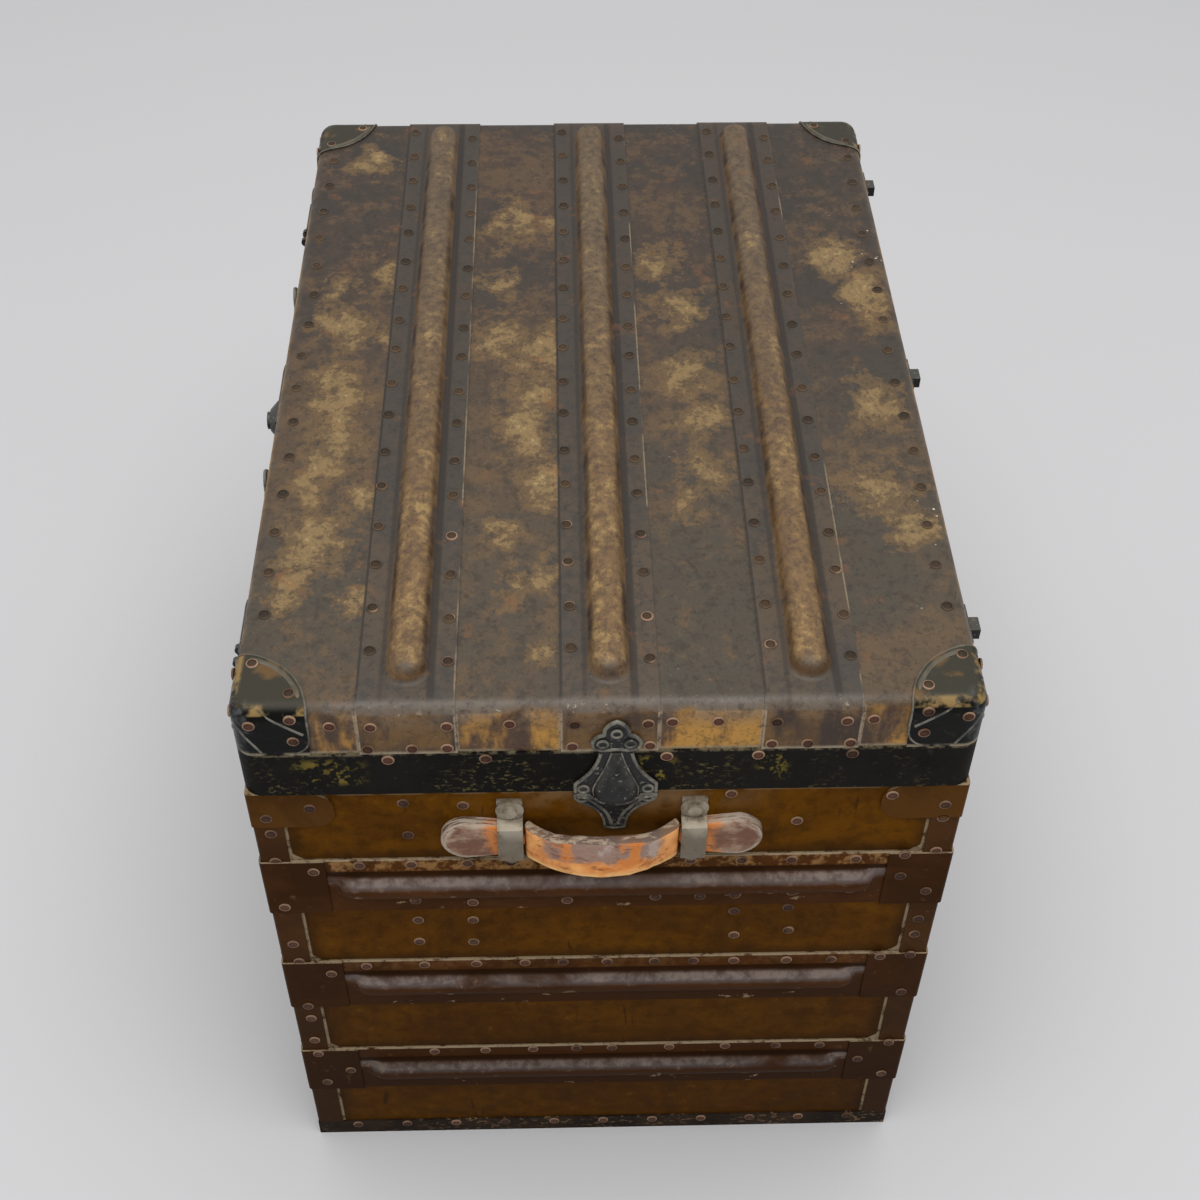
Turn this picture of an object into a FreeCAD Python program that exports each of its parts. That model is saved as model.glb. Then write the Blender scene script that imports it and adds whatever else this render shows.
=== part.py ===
import FreeCAD, Part
import math
import os
import Sketcher

# A travel trunk: a board box covered in hard fibre sheet, with pressed fibre bands, iron fittings and a hinged lid.
# Lengths are millimetres. X runs along the trunk, Y from the lock side (-Y) to the hinge side (+Y), Z up.
# The origin is on the floor, under the middle of the base.
# A fitting is drawn in its side's own frame: +X outwards from the body cover, Y sideways, Z up from the parting.

DOC = FreeCAD.newDocument("travel_trunk")
SHEET = DOC.addObject("Spreadsheet::Sheet", "Sizes")

SIZES = {
    # Body
    "body_length": 806.0,
    "body_width": 554.0,
    "body_height": 541.0,
    "board_thickness": 10.0,
    "fibre_thickness": 2.0,
    "sheet_thickness": 1.5,
    "base_binding_height": 22.0,
    "base_binding_reach": 20.0,
    # Lid
    "lid_height": 97.0,
    "lid_overhang": 1.5,
    "parting_gap": 0.3,
    "lid_corner_radius": 14.0,
    "lid_edge_radius": 11.0,
    "lid_binding_height": 48.0,
    "lid_corner_reach": 57.0,
    "tongue_thickness": 3.0,
    "tongue_height": 41.0,
    "tongue_rise": 9.0,
    # Pressed bands round the body
    "band_width": 70.0,
    "band_pitch": 147.0,
    "top_band_drop": 123.0,
    "band_rib_width": 30.0,
    "band_rib_height": 8.0,
    "band_rib_inset": 34.0,
    # Pressed bands over the lid
    "lid_band_width": 73.0,
    "lid_band_pitch": 150.0,
    "lid_rib_width": 30.0,
    "lid_rib_height": 13.0,
    "lid_rib_inset": 24.0,
    # Corners of the body
    "corner_strip_width": 24.0,
    "corner_bend": 3.0,
    "wrap_reach": 54.0,
    "rim_cap_reach": 67.0,
    "rim_cap_height": 41.0,
    "rim_cap_thickness": 2.5,
    "rim_cap_round": 18.0,
    # Cleats inside that carry a tray
    "cleat_depth": 16.0,
    "cleat_height": 20.0,
    "cleat_drop": 199.0,
    "cleat_inset": 20.0,
    # Clamps on the ends and the front
    "clamp_width": 65.0,
    "clamp_height": 86.0,
    "clamp_neck_width": 27.0,
    "clamp_lobe_width": 38.0,
    "clamp_plate": 2.5,
    "clamp_end_offset": 5.0,
    "clamp_front_offset": 129.0,
    "hood_width": 32.0,
    "hood_rise": 9.0,
    "hood_drop": 11.0,
    "hood_level": 5.0,
    "crossbar_thickness": 2.2,
    "receiver_drop": 49.0,
    "receiver_stem_width": 16.0,
    "cradle_clearance": 1.4,
    "cradle_wall": 3.0,
    "cradle_rise": 6.5,
    # Handles
    "handle_end_offset": 5.0,
    "loop_spacing": 144.0,
    "loop_width": 20.0,
    "loop_thickness": 2.5,
    "loop_bolt_foot": 24.0,
    "loop_rivet_foot": 9.0,
    "strap_height": 38.0,
    "strap_thickness": 10.0,
    "strap_drop": 55.0,
    "strap_slack": 0.5,
    "strap_tail": 45.0,
    "strap_tail_height": 44.0,
    "strap_round": 3.0,
    "grip_round": 3.5,
    "grip_bow": 24.0,
    "grip_gap": 0.3,
    "washer_radius": 11.0,
    "washer_thickness": 1.6,
    "bolt_radius": 5.5,
    "bolt_head": 5.0,
    # Hinges at the back
    "hinge_inset": 94.0,
    "hinge_width": 40.0,
    "hinge_leaf": 2.0,
    "hinge_knuckle_radius": 4.5,
    "hinge_knuckle_width": 13.0,
    "hinge_pin_radius": 2.5,
    "hinge_upper_reach": 80.0,
    "hinge_lower_reach": 70.0,
    "hinge_lug_level": 74.0,
    "hinge_lug_width": 14.0,
    "hinge_lug_height": 10.0,
    "hinge_lug_rise": 10.0,
    # Lock and draw latches at the front
    "fitting_plate": 2.5,
    "fitting_mount_plate": 1.6,
    "fitting_knuckle_radius": 3.5,
    "fitting_pin_radius": 1.8,
    "fitting_axis_level": 56.0,
    "fitting_mount_height": 30.0,
    "lock_width": 96.0,
    "lock_drop": 82.0,
    "lock_case_width": 54.0,
    "lock_case_height": 36.0,
    "lock_case_rise": 5.0,
    "lock_case_round": 2.0,
    "lock_mount_width": 66.0,
    "hasp_width": 68.0,
    "hasp_tip_width": 34.0,
    "hasp_drop": 24.0,
    "hasp_thickness": 2.8,
    "hasp_dome_radius": 21.0,
    "hasp_dome_rise": 16.5,
    "hasp_dome_level": 32.0,
    "hasp_barrel_radius": 8.0,
    "hasp_barrel_rise": 3.0,
    "latch_inset": 113.0,
    "latch_width": 42.0,
    "latch_bolt_width": 26.0,
    "latch_tongue_width": 14.0,
    "latch_drop": 27.0,
    "latch_ear_level": 32.0,
    "latch_ear_rise": 13.0,
    "latch_ear_spread": 14.0,
    "latch_ear_radius": 4.5,
    "latch_ear_thickness": 4.5,
    "catch_drop": 52.0,
    # Fits
    "running_fit": 0.05,
    "side_clearance": 0.3,
    "face_clearance": 0.4,
    "cut_overrun": 2.0,
}

# Shares of a round corner: how far its middle lies inside the two straight sides, in radii.
MID_ARC_SHARE = 1.0 - 1.0 / math.sqrt(2.0)

# A rib's round end: points between its straight part and its tip, across and along, in radii.
NOSE_SHARES = ((0.87, 0.5), (0.5, 0.87))

# The sides and the vertical corners, each a quarter turn on from the one before.
SIDES = ["right_end", "back", "left_end", "front"]
CORNERS = ["right_back", "left_back", "left_front", "right_front"]

NODES = []


class Size:
    """A length: its value now and the sheet formula that gives it."""

    def __init__(self, value, formula):
        self.value = float(value)
        self.formula = formula

    def __add__(self, other):
        other = as_size(other)
        return Size(self.value + other.value, f"({self.formula} + {other.formula})")

    def __sub__(self, other):
        other = as_size(other)
        return Size(self.value - other.value, f"({self.formula} - {other.formula})")

    def __mul__(self, other):
        other = as_size(other)
        return Size(self.value * other.value, f"({self.formula} * {other.formula})")

    def __truediv__(self, other):
        other = as_size(other)
        return Size(self.value / other.value, f"({self.formula} / {other.formula})")

    def __neg__(self):
        return Size(-self.value, f"(0 - {self.formula})")

    def __rsub__(self, other):
        return as_size(other) - self

    __radd__ = __add__
    __rmul__ = __mul__


def as_size(number):
    """Take a Size as it is, and a plain share or zero as a fixed one."""
    return number if isinstance(number, Size) else Size(number, repr(float(number)))


def fill_sheet():
    """Write every driving dimension into the sheet under its own name."""
    for row, (alias, value) in enumerate(SIZES.items(), start=1):
        SHEET.set(f"A{row}", alias)
        SHEET.set(f"B{row}", str(value))
        SHEET.setAlias(f"B{row}", alias)
    DOC.recompute()


def size(alias):
    """The sheet's value under this name, with the formula that reads it."""
    return Size(SHEET.get(alias), f"Sizes.{alias}")


def bind(thing, **sizes):
    """Tie properties of an object to sheet formulas."""
    for name, amount in sizes.items():
        thing.setExpression(name, as_size(amount).formula)


def put(thing, x=0, y=0, z=0, rotation=None):
    """Place an object, with its position tied to the sheet."""
    place = [as_size(amount) for amount in (x, y, z)]
    turn = rotation or FreeCAD.Rotation()
    thing.Placement = FreeCAD.Placement(FreeCAD.Vector(*[amount.value for amount in place]), turn)
    for axis, amount in zip("xyz", place):
        thing.setExpression(f"Placement.Base.{axis}", amount.formula)
    return thing


def quarter_turn(names, name):
    """The turn about the vertical that brings a piece to this side or corner."""
    return FreeCAD.Rotation(FreeCAD.Vector(0, 0, 1), 90.0 * names.index(name))


def facing(side):
    """A side's outward direction, as whole steps along X and Y."""
    out = quarter_turn(SIDES, side).multVec(FreeCAD.Vector(1, 0, 0))
    return round(out.x), round(out.y)


def corner_signs(corner):
    """The signs of X and Y at a vertical corner."""
    out = quarter_turn(CORNERS, corner).multVec(FreeCAD.Vector(1, 1, 0))
    return round(out.x), round(out.y)


def on_side(thing, side, lateral=0, height=0):
    """Carry a fitting from its own frame to a side of the trunk."""
    across, along = facing(side)
    lateral = as_size(lateral)
    half = size("body_length" if across else "body_width") / 2
    x = half * across - lateral * along
    y = half * along + lateral * across
    return put(thing, x, y, height, quarter_turn(SIDES, side))


def on_corner(thing, corner, proud, height):
    """Carry a corner piece to a vertical corner, proud of the body covers."""
    across, along = corner_signs(corner)
    x = (size("body_length") / 2 + proud) * across
    y = (size("body_width") / 2 + proud) * along
    return put(thing, x, y, height, quarter_turn(CORNERS, corner))


def node(label, thing):
    """Name a finished piece, which is written under that name."""
    thing.Label = label
    NODES.append(thing)
    return thing


def block(name, length, width, height, x=0, y=0, z=0):
    """A board or block, placed by its lowest corner."""
    box = DOC.addObject("Part::Box", name)
    bind(box, Length=length, Width=width, Height=height)
    return put(box, x, y, z)


def centred_block(name, length, width, height, x=0, y=0, z=0):
    """A block whose plan is centred on x and y, with its underside at z."""
    length, width = as_size(length), as_size(width)
    return block(name, length, width, height, x - length / 2, y - width / 2, z)


def side_bar(name, radius, length, out, height, lateral=0):
    """A round bar that runs sideways across a fitting, centred on lateral."""
    bar = DOC.addObject("Part::Cylinder", name)
    bind(bar, Radius=radius, Height=length)
    turn = FreeCAD.Rotation(FreeCAD.Vector(1, 0, 0), -90)
    return put(bar, out, as_size(lateral) - length / 2, height, turn)


def stud(name, radius, length, out, height, lateral=0):
    """A round stud that points outwards."""
    pin = DOC.addObject("Part::Cylinder", name)
    bind(pin, Radius=radius, Height=length)
    return put(pin, out, lateral, height, FreeCAD.Rotation(FreeCAD.Vector(0, 1, 0), 90))


def fuse(name, pieces):
    """One solid from pieces that meet."""
    joined = DOC.addObject("Part::MultiFuse", name)
    joined.Shapes = pieces
    joined.Refine = True
    return joined


def common(name, pieces):
    """What all the pieces share."""
    shared = DOC.addObject("Part::MultiCommon", name)
    shared.Shapes = pieces
    return shared


def cut(name, base, tool):
    """The base less the tool."""
    rest = DOC.addObject("Part::Cut", name)
    rest.Base = base
    rest.Tool = tool
    return rest


def group(name, pieces):
    """Separate solids of one kind, kept as one node."""
    compound = DOC.addObject("Part::Compound", name)
    compound.Links = pieces
    return compound


def origin_plane(body, role):
    """One of the body's own origin planes."""
    return next(feature for feature in body.Origin.OriginFeatures if feature.Role == role)


def pin_point(sketch, geometry, end, x, y):
    """Fix a point of a sketch at sheet distances from its origin."""
    for kind, axis, amount in (("DistanceX", -2, as_size(x)), ("DistanceY", -1, as_size(y))):
        if amount.value == 0:
            sketch.addConstraint(Sketcher.Constraint("PointOnObject", geometry, end, axis))
        else:
            held = sketch.addConstraint(Sketcher.Constraint(kind, -1, 1, geometry, end, amount.value))
            sketch.setExpression(f"Constraints[{held}]", amount.formula)


def vector(point):
    """A sketch point's present place."""
    return FreeCAD.Vector(as_size(point[0]).value, as_size(point[1]).value, 0)


def arc_through(start, middle, end):
    """An arc that runs anticlockwise, and which of its ends is the start."""
    a, b, c = vector(start), vector(middle), vector(end)
    circle = Part.Circle(a, b, c)
    centre = circle.Center
    angles = [math.atan2(point.y - centre.y, point.x - centre.x) for point in (a, b, c)]
    anticlockwise = (b - a).cross(c - b).z > 0
    first, last = (angles[0], angles[2]) if anticlockwise else (angles[2], angles[0])
    if last < first:
        last += 2 * math.pi
    flat = Part.Circle(centre, FreeCAD.Vector(0, 0, 1), circle.Radius)
    return Part.ArcOfCircle(flat, first, last), (1, 2) if anticlockwise else (2, 1)


def draw_loop(sketch, loop):
    """Draw one closed outline: points, with ("arc", middle) between two that an arc joins."""
    corners = [item for item in loop if item[0] != "arc"]
    middles = {}
    count = -1
    for item in loop:
        if item[0] == "arc":
            middles[count] = item[1]
        else:
            count += 1
    ends = []
    for index, start in enumerate(corners):
        finish = corners[(index + 1) % len(corners)]
        if index in middles:
            curve, order = arc_through(start, middles[index], finish)
            geometry = sketch.addGeometry(curve, False)
            guide = sketch.addGeometry(Part.Point(vector(middles[index])), True)
            pin_point(sketch, guide, 1, *middles[index])
            sketch.addConstraint(Sketcher.Constraint("PointOnObject", guide, 1, geometry))
        else:
            geometry = sketch.addGeometry(Part.LineSegment(vector(start), vector(finish)), False)
            order = (1, 2)
        ends.append((geometry, order))
    for index, (geometry, order) in enumerate(ends):
        following, next_order = ends[(index + 1) % len(ends)]
        sketch.addConstraint(Sketcher.Constraint("Coincident", geometry, order[1], following, next_order[0]))
        pin_point(sketch, geometry, order[0], *corners[index])


def new_body(name, role, loops):
    """A body with one sketch of closed outlines on one of its origin planes."""
    body = DOC.addObject("PartDesign::Body", name)
    sketch = body.newObject("Sketcher::SketchObject", f"{name}_sketch")
    sketch.AttachmentSupport = [(origin_plane(body, role), "")]
    sketch.MapMode = "FlatFace"
    for loop in loops:
        draw_loop(sketch, loop)
    return body, sketch


def pad(name, role, loops, thickness, midplane=False):
    """A body padded from outlines on one of its origin planes."""
    body, sketch = new_body(name, role, loops)
    feature = body.newObject("PartDesign::Pad", f"{name}_pad")
    feature.Profile = sketch
    feature.Midplane = midplane
    bind(feature, Length=thickness)
    DOC.recompute()
    return body


def plate(name, loop, thickness, out=0):
    """A plate that lies against the side, from out to out plus its thickness."""
    return put(pad(name, "YZ_Plane", [loop], thickness), x=out)


def profile_bar(name, loop, width, lateral=0):
    """A bar with a profile of out and height, as wide sideways as width."""
    return put(pad(name, "XZ_Plane", [loop], width, midplane=True), y=lateral)


def turned(name, loop):
    """A body turned about the vertical from a profile of radius and height."""
    body, sketch = new_body(name, "XZ_Plane", [loop])
    feature = body.newObject("PartDesign::Revolution", f"{name}_turn")
    feature.Profile = sketch
    feature.ReferenceAxis = (sketch, ["V_Axis"])
    feature.Angle = 360.0
    DOC.recompute()
    return body


def ease_edges(body, kind, wanted, **amount):
    """Take the edges that wanted accepts off the body's last feature."""
    base = body.Tip
    names = [f"Edge{n}" for n, edge in enumerate(base.Shape.Edges, start=1) if wanted(edge)]
    eased = body.newObject(f"PartDesign::{kind}", f"{body.Name}_{kind}{len(body.Group)}")
    eased.Base = (base, names)
    bind(eased, **amount)
    DOC.recompute()
    return body


def round_edges(body, radius, wanted):
    """Fillet the wanted edges."""
    return ease_edges(body, "Fillet", wanted, Radius=radius)


def bevel_edges(body, width, wanted):
    """Chamfer the wanted edges."""
    return ease_edges(body, "Chamfer", wanted, Size=width)


def same(first, second):
    """Whether two present lengths agree."""
    return abs(first - second) < 1e-4


def mirrored(half):
    """A closed outline from its right half, listed from the bottom middle to the top middle."""
    other = []
    for item in reversed(half):
        if item[0] == "arc":
            other.append(("arc", (-as_size(item[1][0]), item[1][1])))
        elif as_size(item[0]).value != 0:
            other.append((-as_size(item[0]), item[1]))
    return half + other


def rounded_rectangle(length, width, radius):
    """The plan of a block with round corners, centred on the origin."""
    half_x, half_y = length / 2, width / 2
    inner_x, inner_y = half_x - radius, half_y - radius
    mid_x, mid_y = half_x - radius * MID_ARC_SHARE, half_y - radius * MID_ARC_SHARE
    return [
        (inner_x, -half_y), ("arc", (mid_x, -mid_y)), (half_x, -inner_y),
        (half_x, inner_y), ("arc", (mid_x, mid_y)), (inner_x, half_y),
        (-inner_x, half_y), ("arc", (-mid_x, mid_y)), (-half_x, inner_y),
        (-half_x, -inner_y), ("arc", (-mid_x, -mid_y)), (-inner_x, -half_y),
    ]


def rectangle(low_x, low_y, high_x, high_y):
    """A plain four-cornered outline."""
    return [(low_x, low_y), (high_x, low_y), (high_x, high_y), (low_x, high_y)]


fill_sheet()

LENGTH = size("body_length")
WIDTH = size("body_width")
PARTING = size("body_height")
BOARD = size("board_thickness")
FIBRE = size("fibre_thickness")
SHEET_METAL = size("sheet_thickness")
OVERHANG = size("lid_overhang")
OVERRUN = size("cut_overrun")
WALL = BOARD + FIBRE
LID_BASE = PARTING + size("parting_gap")
LID_LENGTH = LENGTH + OVERHANG * 2
LID_WIDTH = WIDTH + OVERHANG * 2
LID_TOP = LID_BASE + size("lid_height")
BINDING_TOP = LID_BASE + size("lid_binding_height")
BINDING_OUT = OVERHANG + SHEET_METAL
STRIP_EDGE = size("corner_strip_width") - SHEET_METAL
SIDE_GAP = size("side_clearance")
FACE_GAP = size("face_clearance")


def half_of(side):
    """Half the body's size across this side's own sideways direction."""
    return (WIDTH if facing(side)[0] else LENGTH) / 2


def body_boards():
    """Floor and four walls of board, inside the covers."""
    floor_level = SHEET_METAL + FIBRE
    inner_length, inner_width = LENGTH - WALL * 2, WIDTH - WALL * 2
    node("floor_board", centred_block("floor_board", inner_length, inner_width, BOARD, z=floor_level))
    wall_height = PARTING - floor_level
    for side in ("front", "back"):
        y = (WIDTH / 2 - FIBRE - BOARD / 2) * facing(side)[1]
        board = centred_block(f"{side}_board", LENGTH - FIBRE * 2, BOARD, wall_height, y=y, z=floor_level)
        node(f"{side}_board", board)
    for side in ("left_end", "right_end"):
        x = (LENGTH / 2 - FIBRE - BOARD / 2) * facing(side)[0]
        node(f"{side}_board", centred_block(f"{side}_board", BOARD, inner_width, wall_height, x=x, z=floor_level))


def body_covers():
    """Fibre sheets over the boards and under the floor."""
    cover_height = PARTING - SHEET_METAL
    inner_length, inner_width = LENGTH - FIBRE * 2, WIDTH - FIBRE * 2
    for side in ("front", "back"):
        y = (WIDTH / 2 - FIBRE / 2) * facing(side)[1]
        node(f"{side}_cover", centred_block(f"{side}_cover", LENGTH, FIBRE, cover_height, y=y, z=SHEET_METAL))
    for side in ("left_end", "right_end"):
        x = (LENGTH / 2 - FIBRE / 2) * facing(side)[0]
        cover = centred_block(f"{side}_cover", FIBRE, inner_width, cover_height, x=x, z=SHEET_METAL)
        node(f"{side}_cover", cover)
    node("bottom_cover", centred_block("bottom_cover", inner_length, inner_width, FIBRE, z=SHEET_METAL))


def base_binding(side, length):
    """An angle strip round the foot of one side, turned in under the base."""
    reach = size("base_binding_reach")
    angle = [
        (-reach, 0), (SHEET_METAL, 0), (SHEET_METAL, size("base_binding_height")),
        (0, size("base_binding_height")), (0, SHEET_METAL), (-reach, SHEET_METAL),
    ]
    return on_side(profile_bar(f"base_angle_{side}", angle, length), side)


def base_bindings():
    """Four angle strips; those on the ends stop at the long ones."""
    long_ones = []
    for side in ("front", "back"):
        strip = base_binding(side, LENGTH + SHEET_METAL * 2)
        long_ones.append(node(f"base_binding_{side}", strip))
    for side in ("left_end", "right_end"):
        rest = base_binding(side, WIDTH)
        for index, tool in enumerate(long_ones):
            rest = cut(f"base_{side}_trim{index}", rest, tool)
        node(f"base_binding_{side}", rest)


def corner_angle(name, reach, thickness, height):
    """A piece folded round a vertical corner, with legs along both sides."""
    plan = [
        (thickness, thickness), (-reach, thickness), (-reach, 0),
        (0, 0), (0, -reach), (thickness, -reach),
    ]
    body = pad(name, "XY_Plane", [plan], height)
    rim = thickness.value

    def is_bend(edge):
        middle = edge.CenterOfMass
        return same(middle.x, rim) and same(middle.y, rim)

    return round_edges(body, size("corner_bend"), is_bend)


def round_leg_ends(body, reach, levels, radius):
    """Round the free ends of a corner piece's legs at the given levels."""
    def is_leg_end(edge):
        middle = edge.CenterOfMass
        at_end = same(middle.x, -reach.value) or same(middle.y, -reach.value)
        return at_end and any(same(middle.z, level) for level in levels)

    return round_edges(body, radius, is_leg_end)


def corner_strips():
    """Fibre strips up the four corners, under the wraps and up to the rim caps."""
    foot = size("base_binding_height")
    height = PARTING - size("rim_cap_height") - foot
    strips = []
    for corner in CORNERS:
        strip = corner_angle(f"corner_strip_{corner}", STRIP_EDGE, SHEET_METAL, height)
        strips.append(on_corner(strip, corner, 0, foot))
    node("corner_strips", group("corner_strips", strips))


def corner_wraps():
    """Fibre wraps round each corner over the ends of the bands."""
    reach, height = size("wrap_reach") - SHEET_METAL * 2, size("band_width")
    wraps = []
    for tier in range(3):
        for corner in CORNERS:
            wrap = corner_angle(f"corner_wrap_{corner}_{tier}", reach, SHEET_METAL, height)
            wraps.append(on_corner(wrap, corner, SHEET_METAL, band_level(tier) - height / 2))
    node("corner_wraps", group("corner_wraps", wraps))


def rim_caps():
    """Iron caps round the corners of the body's rim."""
    reach = size("rim_cap_reach") - size("rim_cap_thickness")
    height = size("rim_cap_height")
    caps = []
    for corner in CORNERS:
        cap = corner_angle(f"rim_cap_{corner}", reach, size("rim_cap_thickness"), height)
        round_leg_ends(cap, reach, (0.0, height.value), size("rim_cap_round"))
        caps.append(on_corner(cap, corner, 0, PARTING - height))
    node("rim_corner_caps", group("rim_corner_caps", caps))


def band_level(tier):
    """Height of a body band's middle, counted from the top one."""
    return PARTING - size("top_band_drop") - size("band_pitch") * tier


def pressed_rib(name, length, width, height):
    """A round-backed rib with round ends, turned about its sunk axis and pressed out of a sheet."""
    radius = (width * width / 4 + height * height) / (height * 2)
    centre = SHEET_METAL + height - radius
    straight = (length - width) / 2
    nose = [(radius * across, straight + radius * along) for across, along in NOSE_SHARES]
    half = [(radius, straight)] + nose + [(0, straight + radius)]
    profile = [(across, -along) for across, along in reversed(half)] + half
    core = put(turned(f"{name}_core", profile), centre, rotation=FreeCAD.Rotation(FreeCAD.Vector(1, 0, 0), 90))
    room = block(
        f"{name}_room", SHEET_METAL + height + OVERRUN, length + SHEET_METAL * 2, width + SHEET_METAL * 2,
        0, -(length / 2) - SHEET_METAL, -(width / 2) - SHEET_METAL,
    )
    return common(f"{name}_rib", [core, room])


def body_bands():
    """Three bands on each side, each pressed with one long rib."""
    for side in SIDES:
        length = half_of(side) * 2 - STRIP_EDGE * 2
        rib_length = length - size("band_rib_inset") * 2
        bands = []
        for tier in range(3):
            name = f"band_{side}_{tier}"
            strip = block(
                f"{name}_strip", SHEET_METAL, length, size("band_width"),
                0, -(length / 2), -(size("band_width") / 2),
            )
            rib = pressed_rib(name, rib_length, size("band_rib_width"), size("band_rib_height"))
            bands.append(on_side(fuse(name, [strip, rib]), side, 0, band_level(tier)))
        node(f"{side}_bands", group(f"{side}_bands", bands))


def rim_tongues():
    """Strips inside the rim that rise into the lid and line it up."""
    thick, height = size("tongue_thickness"), size("tongue_height")
    base = PARTING + size("tongue_rise") - height
    inner_length, inner_width = LENGTH - WALL * 2, WIDTH - WALL * 2
    strips = []
    for side in ("front", "back"):
        y = (inner_width / 2 - thick / 2) * facing(side)[1]
        strips.append(centred_block(f"tongue_{side}", inner_length, thick, height, y=y, z=base))
    for side in ("left_end", "right_end"):
        x = (inner_length / 2 - thick / 2) * facing(side)[0]
        strips.append(centred_block(f"tongue_{side}", thick, inner_width - thick * 2, height, x=x, z=base))
    node("rim_tongues", group("rim_tongues", strips))


def tray_cleats():
    """Two battens inside the ends."""
    depth, height = size("cleat_depth"), size("cleat_height")
    length = WIDTH - WALL * 2 - size("cleat_inset") * 2
    level = PARTING - size("cleat_drop") - height / 2
    cleats = []
    for side in ("left_end", "right_end"):
        x = (LENGTH / 2 - WALL - depth / 2) * facing(side)[0]
        cleats.append(centred_block(f"cleat_{side}", depth, length, height, x=x, z=level))
    node("tray_cleats", group("tray_cleats", cleats))


def lid_form(name, proud, ease=round_edges):
    """The lid's outer form, grown outwards by proud, with its top edges eased."""
    plan = rounded_rectangle(LID_LENGTH + proud * 2, LID_WIDTH + proud * 2, size("lid_corner_radius") + proud)
    height = size("lid_height") + proud
    form = pad(name, "XY_Plane", [plan], height)

    def is_top_edge(edge):
        return same(edge.BoundBox.ZMin, height.value) and same(edge.BoundBox.ZMax, height.value)

    ease(form, size("lid_edge_radius") + proud, is_top_edge)
    return put(form, z=LID_BASE)


def lid_boards(core):
    """The lid's five boards, trimmed to stay under its cover."""
    length, width = LID_LENGTH - FIBRE * 2, LID_WIDTH - FIBRE * 2
    side_height = size("lid_height") - WALL
    top = centred_block("lid_top_blank", length, width, BOARD, z=LID_BASE + side_height)
    node("lid_top_board", common("lid_top_board", [core, top]))
    for side in ("front", "back"):
        y = (width / 2 - BOARD / 2) * facing(side)[1]
        blank = centred_block(f"lid_{side}_blank", length, BOARD, side_height, y=y, z=LID_BASE)
        node(f"lid_{side}_board", common(f"lid_{side}_board", [core, blank]))
    for side in ("left_end", "right_end"):
        x = (length / 2 - BOARD / 2) * facing(side)[0]
        blank = centred_block(f"lid_{side}_blank", BOARD, width - BOARD * 2, side_height, x=x, z=LID_BASE)
        node(f"lid_{side}_board", common(f"lid_{side}_board", [core, blank]))


def lid_binding():
    """The flat iron band round the foot of the lid."""
    radius = size("lid_corner_radius")
    outer = rounded_rectangle(
        LID_LENGTH + SHEET_METAL * 2, LID_WIDTH + SHEET_METAL * 2, radius + SHEET_METAL,
    )
    inner = rounded_rectangle(LID_LENGTH, LID_WIDTH, radius)
    ring = pad("lid_binding", "XY_Plane", [outer, inner], size("lid_binding_height"))
    node("lid_binding", put(ring, z=LID_BASE))


def lid_bands():
    """Three bands over the lid from end to end, each pressed with one long rib."""
    half = LID_LENGTH / 2
    bend = size("lid_edge_radius")
    outer_bend = bend + SHEET_METAL
    top = LID_TOP + SHEET_METAL
    out = half + SHEET_METAL
    outer_mid, inner_mid = outer_bend * MID_ARC_SHARE, bend * MID_ARC_SHARE
    arch = [
        (out, BINDING_TOP), (out, top - outer_bend), ("arc", (out - outer_mid, top - outer_mid)),
        (out - outer_bend, top), (outer_bend - out, top), ("arc", (outer_mid - out, top - outer_mid)),
        (-out, top - outer_bend), (-out, BINDING_TOP), (-half, BINDING_TOP),
        (-half, LID_TOP - bend), ("arc", (inner_mid - half, LID_TOP - inner_mid)), (bend - half, LID_TOP),
        (half - bend, LID_TOP), ("arc", (half - inner_mid, LID_TOP - inner_mid)), (half, LID_TOP - bend),
        (half, BINDING_TOP),
    ]
    rib_length = (out - size("lid_rib_inset")) * 2
    lengthwise = FreeCAD.Rotation(FreeCAD.Vector(1, 1, 1), 240)
    for name, step in (("front", -1), ("middle", 0), ("back", 1)):
        lateral = size("lid_band_pitch") * step
        strip = profile_bar(f"lid_band_{name}_strip", arch, size("lid_band_width"), lateral)
        rib = pressed_rib(f"lid_band_{name}", rib_length, size("lid_rib_width"), size("lid_rib_height"))
        put(rib, y=lateral, z=LID_TOP, rotation=lengthwise)
        node(f"lid_band_{name}", fuse(f"lid_band_{name}", [strip, rib]))


def lid_corners(form):
    """Iron caps over the lid's four corners, round where they meet the top."""
    grown = lid_form("lid_corner_form", SHEET_METAL)
    shell = cut("lid_corner_shell", grown, form)
    caps = []
    for corner in CORNERS:
        across, along = corner_signs(corner)
        reach = DOC.addObject("Part::Cylinder", f"lid_corner_{corner}_reach")
        bind(reach, Radius=size("lid_corner_reach"), Height=LID_TOP - BINDING_TOP + SHEET_METAL * 2)
        x = (LID_LENGTH / 2 + SHEET_METAL) * across
        y = (LID_WIDTH / 2 + SHEET_METAL) * along
        put(reach, x, y, BINDING_TOP)
        caps.append(common(f"lid_corner_{corner}", [shell, reach]))
    node("lid_corner_caps", group("lid_corner_caps", caps))


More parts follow.
